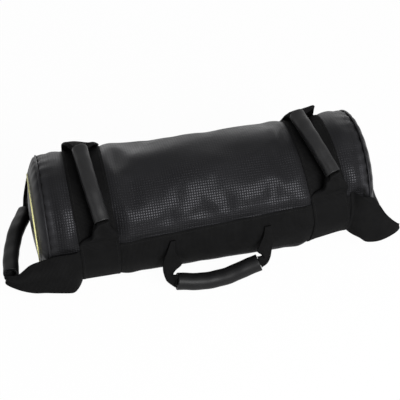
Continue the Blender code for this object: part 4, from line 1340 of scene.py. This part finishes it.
# A flap's row is its share of the way to the grip, the heights of its two edges and how far inwards it is
LEFT_FRONT = (
    (0, 0.459, -0.448, 0), (0.06, 0.442, -0.472, 0), (0.12, 0.425, -0.512, 0),
    (0.194, 0.405, -0.538, 0), (0.377, 0.346, -0.540, 0), (0.543, 0.233, -0.554, 0.018),
    (0.718, 0.085, -0.584, 0.04), (0.91, -0.20, -0.560, 0.08), (1.085, -0.30, -0.500, 0.16),
)
LEFT_BACK = (
    (0, 0.459, -0.391, 0), (0.30, 0.439, -0.443, 0), (0.62, 0.524, -0.385, 0),
    (0.80, 0.588, -0.121, 0.02), (0.95, 0.615, 0.215, 0.15),
)
RIGHT_FRONT = (
    (0, 0.466, -0.452, 0), (0.241, 0.448, -0.450, 0), (0.431, 0.406, -0.575, 0),
    (0.608, 0.212, -0.625, 0), (0.78, -0.011, -0.635, 0), (0.975, -0.218, -0.630, 0.03),
    (1.147, -0.375, -0.600, 0.065), (1.233, -0.48, -0.610, 0.13),
)
RIGHT_BACK = (
    (0, 0.466, -0.452, 0), (0.27, 0.455, -0.40, 0), (0.488, 0.365, -0.216, 0),
    (0.735, 0.332, -0.03, 0.178), (0.84, 0.323, 0.086, 0.468),
)
# How many folds a flap gathers into before its grip, their depth, cup, and where they start and end
LEFT_FOLDS = (1.5, 0.0012, 0.0)
RIGHT_FOLDS = (1.0, 0.0009, 0.0)
BACK_FOLDS = (1.5, 0.0010, 0.0, 0.6, 0.8)


def end_place(side, out, across, high):
    """A point off a dome: how far past it, across and up, in barrel radii."""
    x = SEAM_X + DOME_DEPTH + END_RADIUS + 2 * GAP + out * RADIUS
    return np.array((side * x, across * RADIUS, AXIS_Z + high * RADIUS))


def flap_root(side, front):
    """Where a flap starts: clear of the girth band, which leans to the left over the long bands."""
    edge = girth_end(side)
    own = 0 if front > 0 else 180
    highest = band_angle(edge, own) + front * (BAND_HALF_ANGLE + STEP_ANGLE)
    lean = GIRTHS[0][1] * math.sin(math.radians(highest)) if side < 0 else 0
    return edge - lean + side * GAP


print("front flaps start at", round(flap_root(-1, 1), 4), "and", round(flap_root(1, 1), 4))

# %% [markdown]
# A flap is the long band running on, so at its root it lies on the round of the barrel. The back flaps
# stay on it up to the welt, and the front ones fold out of it sooner, as in the photo. A flap's two edges
# are curves on a leaning plane. The sheet between them is drawn in to the barrel at the root, and the
# draw fades where the real flap comes free.


# %% Flaps of the end handles
def laid_round(sheet, front, root):
    """Draw a flap in to the round of the barrel near its root; a front flap folds out of it at once."""
    leaves, free = (LEFT_LEAVES if root < 0 else RIGHT_LEAVES) if front > 0 else BACK_LEAVES
    x = sheet[..., 0]
    out = np.clip((np.abs(x - root) - leaves) / (free - leaves), 0, 1)
    free_share = 1 - (1 - out) ** 3 if front > 0 else soft_step(out, 0, 1)
    level = sheet[..., 2] - AXIS_Z
    angle = np.degrees(np.arctan2(level, -sheet[..., 1]))
    seat = skin_radius(np.clip(x, -SEAM_X, SEAM_X), angle) + 2 * GAP + WEBBING / 2
    over_welt = FLAP_STAND * soft_bump(np.abs(x) - SEAM_X, WELT_REACH)
    seat = np.maximum(seat, (RADIUS + GAP + WEBBING / 2) * (np.abs(x) > SEAM_X)) + 2 * over_welt
    barrel_y = -front * np.sqrt(np.maximum(seat**2 - level**2, 0))
    laid = sheet.copy()
    laid[..., 1] = barrel_y + (sheet[..., 1] - front * FLAP_STAND - barrel_y) * free_share
    return laid


def flap_table(root, front, rows, end, way):
    """Both edges of a flap and its thickness: its rows on a leaning plane, then a cut across the grip."""
    middle_turn = band_angle(root, 0)
    centre = RADIUS * math.sin(math.radians(middle_turn))
    tilt = math.radians(FLAP_TILT * middle_turn)
    edges = [[], []]
    for share, upper, lower, inwards in rows:
        x = root + (end[0] - root) * share
        for edge, high in zip(edges, (upper, lower)):
            rise = high * RADIUS + centre * (1 - share)
            y = (RADIUS + WEBBING - rise * math.sin(tilt)) / math.cos(tilt) - inwards * RADIUS
            edge.append((x, -front * y, AXIS_Z + front * rise))
    up = unit(np.array((0, 0, 1.0)) - way * way[2]) * front * END_RADIUS * END_SPREAD
    edges[0].append(end + up)
    edges[1].append(end - up)
    table = smooth(np.column_stack([*edges, [WEBBING] * len(rows) + [2 * FOLDED]]), FLAP_STEPS)
    table[:, 6] = np.maximum(table[:, 6], WEBBING)
    return table


def flap(label, side, front, rows, path, at_end, folds):
    """A sheet between two edge curves, laid round the barrel at its root, where it meets the band."""
    root = flap_root(side, front)
    end, way = grip_end(path, at_end)
    table = flap_table(root, front, rows, end, way)
    sheet = laid_round(between_edges(table), front, root)
    sheet[-1] = between_edges(table)[-1]
    if side < 0:
        own_lean = GIRTHS[0][1] * np.maximum((sheet[..., 2] - AXIS_Z) / RADIUS, 0)
        near = 1 - soft_step(np.linspace(0, 1, len(sheet)), 0.0, 0.2)[:, None]
        sheet[..., 0] += (girth_end(-1) - root - own_lean - GAP) * near
    piece = loose_webbing(label, sheet, table[:, 6], -way, soft_folds(len(table), *folds), None, [label])
    start = (table[0, :3] + table[0, 3:6]) / 2
    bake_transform(piece)


print("front flaps leave the barrel over", LEFT_LEAVES, "and", RIGHT_LEAVES, "past their roots")


def end_handle(side, label, grip_rows, front_rows, back_rows, front_folds):
    """A grip across the end, and a flap from each long band to each of its ends."""
    places = [end_place(side, *row) for row in grip_rows]
    coarse = smooth(places, 9)
    # The end grips use the darker rubber copy, whose darker colour is painted shade.
    grip(label, smooth(places, GRIP_STEPS), END_RADIUS, (float(side), 0, 0), label, SHADED_RUBBER)
    flap(label + "_front_flap", side, 1, front_rows, coarse, False, front_folds)
    flap(label + "_back_flap", side, -1, back_rows, coarse, True, BACK_FOLDS)


# %% [markdown]
# Both ends use the same functions with rows of their own: the left loop lies level across its dome, and
# the right one slopes down to the front. One mirrored handle would have been less work, and wrong.

# %% Both end handles
end_handle(-1, "left_end_handle", LEFT_GRIP, LEFT_FRONT, LEFT_BACK, LEFT_FOLDS)
end_handle(1, "right_end_handle", RIGHT_GRIP, RIGHT_FRONT, RIGHT_BACK, RIGHT_FOLDS)

# %% [markdown]
# A short grip lies over each girth band. At both of its ends the webbing comes out as a folded block
# and spreads down to the band's full width, where it is sewn flat. The rows count in shares of the way
# from grip to foot, so that one set of them serves both front flares.

# %% Top handles
TOP_RADIUS = 0.0132
# A grip's place is how far along the barrel in band widths, how high in grip radii, and its angle
LEFT_TOP = ((-0.146, 0.66, 94.8), (-0.046, 0.14, 62.3), (0.098, 0.66, 34.3))
RIGHT_TOP = ((-0.500, 0.60, 101.3), (-0.318, 0.22, 69.4), (-0.038, 0.60, 43.7))
# The angles of a handle's back and front foot on its band, and how far its back flare tilts
LEFT_FEET = (143, 15.0)
RIGHT_FEET = (147, 26.5)
LEFT_TILT = -7.0
RIGHT_TILT = 12.0
TILT_FADES = 0.3
FLARE_START = 0.80
FRONT_FLARE_FOLDS = (1.5, 0.0012, 0.0)
BACK_FLARE_FOLDS = (1.0, 0.0012, 0.0)
# A flare's row is its share of the way down, its height left, its spread to the left and to the right,
# its share of the way along and its thickness. In front it is a folded block that opens to the right
# first, behind it is a wide fold that stands off the band. The last row of each is the foot.
FLARE_FOOT = (1.00, 0.00, 1.00, 1.00, 1.00, FOLDED)
FRONT_FLARE = (
    (0.22, 0.86, 0.40, 0.52, 0.35, 0.0125),
    (0.46, 0.64, 0.40, 0.80, 0.60, 0.0105),
    (0.66, 0.42, 0.48, 0.96, 0.80, 0.0080),
    (0.82, 0.14, 0.86, 1.00, 0.93, 0.0050),
    FLARE_FOOT,
)
LEFT_BACK_FLARE = (
    (0.22, 0.82, 0.74, 0.72, 0.45, 0.0070),
    (0.48, 0.42, 0.95, 0.92, 0.75, 0.0045),
    (0.74, 0.18, 1.00, 1.00, 0.95, FOLDED),
    (0.90, 0.05, 1.00, 1.00, 1.00, FOLDED),
    FLARE_FOOT,
)
RIGHT_BACK_FLARE = (
    (0.22, 0.80, 0.66, 0.80, 0.45, 0.0070),
    (0.48, 0.54, 0.86, 0.98, 0.75, 0.0045),
    (0.74, 0.34, 1.00, 1.04, 0.95, FOLDED),
    (0.90, 0.10, 1.00, 1.00, 1.00, FOLDED),
    FLARE_FOOT,
)


def girth_face(x, angle):
    """The distance of a girth band's outer face from the axis, on the dressed band."""
    return float(skin_radius(x, angle) + GAP + over_long_band(x, angle) + WEBBING)


print("tops of the girth bands", [round(girth_face(middle, 90), 4) for middle, _ in GIRTHS])

# %% [markdown]
# A flare is worked out from the grip down to its foot, and then its rows are turned round, so that they
# run from the sewn edge up to the grip as those of the flaps do. The foot is laid on the dressed band,
# not on its solid, because the band has sunk in and swelled with the cloth under it.

# %% Flares and grips of the top handles
def top_flare(label, path, at_end, rows, foot, tilt):
    """Webbing from a grip's end to its foot on the band; foot is an angle and a place along the barrel."""
    start, way = grip_end(path, at_end)
    turn = math.degrees(math.atan2(start[2] - AXIS_Z, -start[1]))
    lift = np.linalg.norm(start[1:] - (0, AXIS_Z)) - GIRTH_TOP - FOLDED / 2
    aside = unit(np.array((1, 0, 0)) - way * way[0]) * FLARE_START * TOP_RADIUS
    edges, thickness = [[start + aside], [start - aside]], [1.1 * TOP_RADIUS]
    for turned, raised, left, right, moved, thick in rows:
        angle = turn + (foot[0] - turn) * turned
        x = start[0] + (foot[1] - start[0]) * moved
        high = girth_face(x, angle) + GAP + FOLDED / 2 + lift * raised
        leaning = math.radians(tilt) * min(1, raised / TILT_FADES)
        for edge, side, spread in zip(edges, (1, -1), (right, left)):
            out = side * spread * GIRTH_WIDTH / 2
            edge.append(on_barrel(x + out * math.cos(leaning), high + out * math.sin(leaning), angle))
        thickness.append(thick)
    table = smooth(np.column_stack([*edges, thickness]), LOOSE_STEPS)[::-1]
    folds = soft_folds(len(table), *(FRONT_FLARE_FOLDS if at_end else BACK_FLARE_FOLDS))
    piece = loose_webbing(label, between_edges(table), table[:, 6], -way, folds, None, [label])
    sewn = (table[0, :3] + table[0, 3:6]) / 2
    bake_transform(piece)


def top_handle(label, girth, rows, feet, back_rows, tilt):
    """A grip along a curve over its girth band, and a flare from each of its ends down to the band."""
    middle, skew = girth
    places = [
        on_barrel(middle + along * GIRTH_WIDTH, GIRTH_TOP + TOP_RADIUS + high * TOP_RADIUS, angle)
        for along, high, angle in rows
    ]
    coarse = smooth(places, 7)
    path = smooth(places, GRIP_STEPS)
    half_way = path[len(path) // 2]
    reference = unit(half_way - np.array((half_way[0], 0, AXIS_Z)))
    grip(label, path, TOP_RADIUS, reference, label)
    back, front = ((angle, middle - girth_lean(skew, angle)) for angle in feet)
    top_flare(label + "_back_flare", coarse, False, back_rows, back, tilt)
    top_flare(label + "_front_flare", coarse, True, FRONT_FLARE, front, 0.0)


top_handle("left_top_handle", GIRTHS[0], LEFT_TOP, LEFT_FEET, LEFT_BACK_FLARE, LEFT_TILT)
top_handle("right_top_handle", GIRTHS[1], RIGHT_TOP, RIGHT_FEET, RIGHT_BACK_FLARE, RIGHT_TILT)

# %% [markdown]
# The bag is filled through a zip on its lower back. Each side is a woven tape with a nylon coil along
# its inner edge: one long round wire wound at an even pitch, drawn here as a tube along a helix. Single
# teeth would be those of another kind of zip.

# %% Zip
ZIP_TURN = math.radians(ZIP_ANGLE)
ZIP_OUT = np.array((0, -math.cos(ZIP_TURN), math.sin(ZIP_TURN)))
ZIP_ASIDE = np.array((0, math.sin(ZIP_TURN), math.cos(ZIP_TURN)))
stop_middle = sum(np.array(corner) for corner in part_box("zip_left_stop")) / 2
ZIP_RADIUS = float((stop_middle - (0, 0, AXIS_Z)) @ ZIP_OUT)
TAPE_EDGES = (0.0026, 0.016)
TAPE_WALL = 0.0007
TAPE_RIPPLE = 0.00012
TAPE_WAVES = 260
COIL_PITCH = 0.0016
COIL_WIRE = 0.00025
COIL_MIDDLE = 0.00115
COIL_REACH = 0.00072
COIL_RISE = 0.00092


def zip_point(x, radius, aside):
    """A point by the zip: how far along, how far from the barrel's axis and how far aside."""
    x, radius, aside = (part[..., None] for part in np.broadcast_arrays(x, radius, aside))
    return np.array((0, 0, AXIS_Z)) + x * np.array((1, 0, 0)) + radius * ZIP_OUT + aside * ZIP_ASIDE


def zip_tape(label, side):
    """A thin strap section beside the opening, with a slight ripple in its outer edge."""
    x, across = grid(np.linspace(teeth_low.x, teeth_high.x, 160), ACROSS)
    middle, half = sum(TAPE_EDGES) / 2, (TAPE_EDGES[1] - TAPE_EDGES[0]) / 2
    ripple = TAPE_RIPPLE * np.sin(x * TAPE_WAVES + side) * soft_step(across * side, -1.0, 0.5)
    points = zip_point(x, ZIP_RADIUS + (HEIGHT - 0.5) * TAPE_WALL + ripple, side * middle + across * half)
    mesh = surface("zip_tape_" + label, points, np.stack([x, across * half], axis=-1), caps="pair")
    place("zip_tape_" + label, mesh, "bag", TAPE, ["zip_" + label + "_tape"])


def zip_coil(label, side):
    """A round wire whose middle turns as it goes along: a cosine aside and a sine up, one turn a pitch."""
    length = teeth_high.x - teeth_low.x
    count = int(length / COIL_PITCH)
    phase = np.linspace(0, 2 * math.pi * count, 8 * count + 1)[:, None]
    around = np.linspace(0, 2 * math.pi, 7)
    along = teeth_low.x + COIL_WIRE + (length - 2 * COIL_WIRE) * phase / phase[-1]
    out = COIL_WIRE * np.cos(around)
    points = zip_point(
        along + COIL_WIRE * np.sin(around),
        ZIP_RADIUS + (COIL_RISE + out) * np.sin(phase),
        side * (COIL_MIDDLE + (COIL_REACH + out) * np.cos(phase)),
    )
    lengths = np.stack(np.broadcast_arrays(phase * COIL_RISE, around * COIL_WIRE), axis=-1)
    mesh = surface("zip_coil_" + label, points, lengths, caps="fan")
    place("zip_coil_" + label, mesh, "bag", NYLON, ["zip_" + label + "_teeth"])


for label, side in (("upper", -1), ("lower", 1)):
    zip_tape(label, side)
    zip_coil(label, side)

# %% [markdown]
# Inside, a tape binds the raw edges of each end seam. It is the webbing section once more, carried round
# the seam with a fine crimp, and it goes in where the slack right end does.

# %% Seam bindings
BINDING_WALL = 0.0012
BINDING_INSET = 0.0003
BINDING_CRIMP = 0.00015


def seam_binding(side, label):
    """A tape round the inside of a seam: its radius plus the seam's slack and a fine crimp."""
    low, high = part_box(label + "_seam_binding")
    half = (high.x - low.x) / 2
    turns, across = grid(np.linspace(0, 360, 181), ACROSS)
    crimp = BINDING_CRIMP * np.sin(np.radians(turns) * 60)
    inner = (high.y - low.y) / 2 - BINDING_WALL - BINDING_INSET
    slack = np.minimum(seam_radius(side, turns) - RADIUS, 0)
    radius = inner + slack + BINDING_WALL * HEIGHT + crimp
    points = on_barrel((low.x + high.x) / 2 + across * half, radius, turns)
    points = lying(points, low.z + (1 - HEIGHT) * BINDING_WALL)
    lengths = np.stack([np.radians(turns) * inner, across * half], axis=-1)
    mesh = surface(label + "_binding", points, lengths)
    place(label + "_binding", mesh, "bag", TAPE, [label + "_seam_binding"])


seam_binding(-1, "left")
seam_binding(1, "right")

# %% [markdown]
# Three cloth bags hold the sand. Each is a limp tube with rounded ends that takes the round of the
# barrel, its sand lies level in two slow waves, and a pleated disc of tape shuts its neck. A Screw
# modifier could turn the outline, but as an array each of its points can be held inside the dented skin.

# %% Filler bags, sand and neck discs
FILLER_WALL = 0.0010
FILLER_CLEAR = 0.0010
FILLER_ROUND = 0.018
FILLER_LIMP = 0.0005
FILLER_CREASE = 0.0006
FILLER_TURNS = np.linspace(0, 360, 97)
NECK_RADIUS = 0.015
NECK_WIDTH = 0.024
NECK_PLEAT = 0.0001
NECK_SPARE = 0.0003
SAND_SPARE = 0.0025
SAND_SLUMP = 0.0010
SAND_WAVE = 0.0009
SAND_SEAT = 0.0005


def round_profile(length, full, neck):
    """Places along and radii of a bag's outline: its pole, a rounded shoulder, the tube and back."""
    bend = np.linspace(0, math.pi / 2, 9)
    shoulder = FILLER_ROUND * (1 - np.cos(bend))
    fall = full - FILLER_ROUND * (1 - np.sin(bend))
    tube = np.linspace(FILLER_ROUND, length - FILLER_ROUND, 40)[1:-1]
    along = np.concatenate([[0], shoulder, tube, length - shoulder[::-1], [length]])
    return along, np.concatenate([[0.0], fall, np.full(len(tube), full), fall[::-1], [neck]])


def inner_shape(rows, radius, drawn_in, clear):
    """A round inside the barrel that stays this clear of the skin wherever the skin is drawn in."""
    x, angle = grid(rows, FILLER_TURNS)
    roof = skin_radius(x, angle) + spread_out(SLACK, rows, FILLER_TURNS) - SKIN - clear
    return on_barrel(x, np.clip(radius[:, None] - drawn_in, 0, roof), angle)


def filler_bag(label):
    """A limp tube: its outline, less two waves that are deepest where the bag is full."""
    low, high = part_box("filler_bag_" + label)
    full = (high.y - low.y) / 2
    along, radius = round_profile(high.x - low.x, full, NECK_RADIUS)
    x, angle = grid(low.x + along, FILLER_TURNS)
    turn = np.radians(angle)
    limp = FILLER_LIMP * (1 + np.sin(9 * turn + 60 * x))
    limp = limp + FILLER_CREASE * (1 + np.sin(4 * turn - 35 * x)) * np.maximum(np.sin(turn), 0)
    limp = limp * (radius[:, None] / full) ** 2
    points = lying(inner_shape(low.x + along, radius, limp, FILLER_CLEAR), low.z)
    mesh = surface("sandbag_" + label, points, np.stack([x, turn * full], axis=-1), closed=False)
    bag = place("sandbag_" + label, mesh, "bag", LINER, ["filler_bag_" + label])
    add_wall(bag, FILLER_WALL)
    return full


def sand_fill(label, full):
    """Sand that fills a bag up to a level with two slow waves in it."""
    low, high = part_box("sand_fill_" + label)
    along, radius = round_profile(high.x - low.x, full - FILLER_WALL - SAND_SPARE, 0.0)
    points = inner_shape(low.x + along, radius, 0, FILLER_CLEAR + FILLER_WALL + SAND_SLUMP)
    points = lying(points, low.z + SAND_SEAT)
    level = high.z - SAND_SLUMP + SAND_WAVE * np.sin(70 * points[..., 0]) * np.sin(55 * points[..., 1] + 1)
    points[..., 2] = np.minimum(points[..., 2], level)
    around = np.broadcast_to(np.radians(FILLER_TURNS) * full, points.shape[:2])
    mesh = surface("sand_" + label, points, np.stack([points[..., 0], around], axis=-1))
    sand = place("sand_" + label, mesh, "bag", SAND, ["sand_fill_" + label])


def neck_disc(label):
    """Two faces that thin towards the rim, with pleats that deepen outwards."""
    low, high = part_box("filler_closure_" + label)
    run = np.linspace(0, 1, 16)
    share, angle = grid(np.concatenate([run, run[::-1]]), FILLER_TURNS)
    face = np.repeat([-1.0, 1.0], len(run))[:, None]
    pleat = NECK_PLEAT * np.sin(24 * np.radians(angle)) * share
    half = (high.x - low.x - NECK_SPARE) / 2
    x = (low.x + high.x) / 2 + half * face * (1 - share**8 * 0.7) + pleat
    points = on_barrel(x, share * (high.y - low.y) / 2, angle)
    mesh = surface("neck_disc_" + label, points, np.stack([share, np.radians(angle)], axis=-1) * NECK_WIDTH)
    place("neck_disc_" + label, mesh, "bag", TAPE, ["filler_closure_" + label])


for label in ("left", "middle", "right"):
    sand_fill(label, filler_bag(label))
    neck_disc(label)

# %% [markdown]
# A plain pale floor carries the bag, and to the camera it is nearly white, so that only the soft shadow
# shows on it. The front light is broad and low, because the cloth's front half mirrors what stands in
# front of it, and there is nothing overhead, because the band between the front and the rim is dark.

# %% Floor, world and lights
WHITE_SHARE = 0.97
WORLD_LIGHT = 0.15
FLOOR_HALF = 6.0


def background_share(shade):
    """1 for a ray that shows the background itself: seen, mirrored or through glass."""
    path = shade.node("LightPath")
    rays = ("Is Camera Ray", "Is Glossy Ray", "Is Transmission Ray")
    seen, mirrored, through = (path.output(ray) for ray in rays)
    return (seen + mirrored + through).smaller(1.0)


def pale_floor():
    """A matt square, which background rays see as nearly plain white."""
    look, shader, shade = new_look("pale_floor", 0.9, 0.1)
    shader.inputs["Base Color"].default_value = grey(0.86)
    glow = shade.node("Emission", None, {"Color": grey(1.0), "Strength": 1.0})
    share = background_share(shade) * WHITE_SHARE
    painted = Shade(look.node_tree, shader.outputs[0])
    mixed = shade.node("MixShader", None, {0: share, 1: painted, 2: glow})
    shade.plug(look.node_tree.nodes["Material Output"].inputs["Surface"], mixed)
    mesh = bpy.data.meshes.new("floor")
    corners = [(x * FLOOR_HALF, y * FLOOR_HALF, 0) for x, y in ((-1, -1), (1, -1), (1, 1), (-1, 1))]
    mesh.from_pydata(corners, [], [(0, 1, 2, 3)])
    mesh.materials.append(look)
    in_scene("floor", mesh)


def pale_world():
    """White for background rays, and a faint even light for all others."""
    world = bpy.data.worlds.new("studio")
    bpy.context.scene.world = world
    world.use_nodes = True
    shade = Shade(world.node_tree)
    sky = world.node_tree.nodes["Background"].inputs
    shade.plug(sky["Strength"], background_share(shade) * (1 - WORLD_LIGHT) + WORLD_LIGHT)
    sky["Color"].default_value = grey(1.0)


def soft_box(name, place_at, aim_at, width, height, power):
    """A rectangular lamp at a place, turned to face the point it aims at."""
    data = bpy.data.lights.new(name, "AREA")
    data.shape = "RECTANGLE"
    data.size = width
    data.size_y = height
    data.energy = power
    lamp = in_scene(name, data)
    lamp.location = place_at
    lamp.rotation_euler = (Vector(aim_at) - Vector(place_at)).to_track_quat("-Z", "Y").to_euler()


pale_floor()
pale_world()
BAG_MIDDLE = (0.0, 0.0, AXIS_Z)
# Each lamp's place, width and height in metres, and power in watts
LAMPS = {
    "front_box": ((0.75, -2.0, 1.30), 1.3, 1.5, 91.0),
    "left_fill": ((-2.2, -0.9, 0.9), 0.8, 0.8, 4.0),
    "rim_box": ((0.3, 2.2, 0.55), 2.6, 0.6, 18.0),
}
for name, (place_at, width, height, power) in LAMPS.items():
    soft_box(name, place_at, BAG_MIDDLE, width, height, power)
print("lamps", sorted(LAMPS))

# %% [markdown]
# The zip's slider, its pull and the two stops are plain moulded metal, so their solids are shown as they
# are and only get their finish.

# %% Zip metal and its finish
for label in ("zip_slider", "zip_pull", "zip_left_stop", "zip_right_stop"):
    metal_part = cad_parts[label].data
    metal_part.materials.clear()
    metal_part.materials.append(METAL)
    print(label, "in", METAL.name)
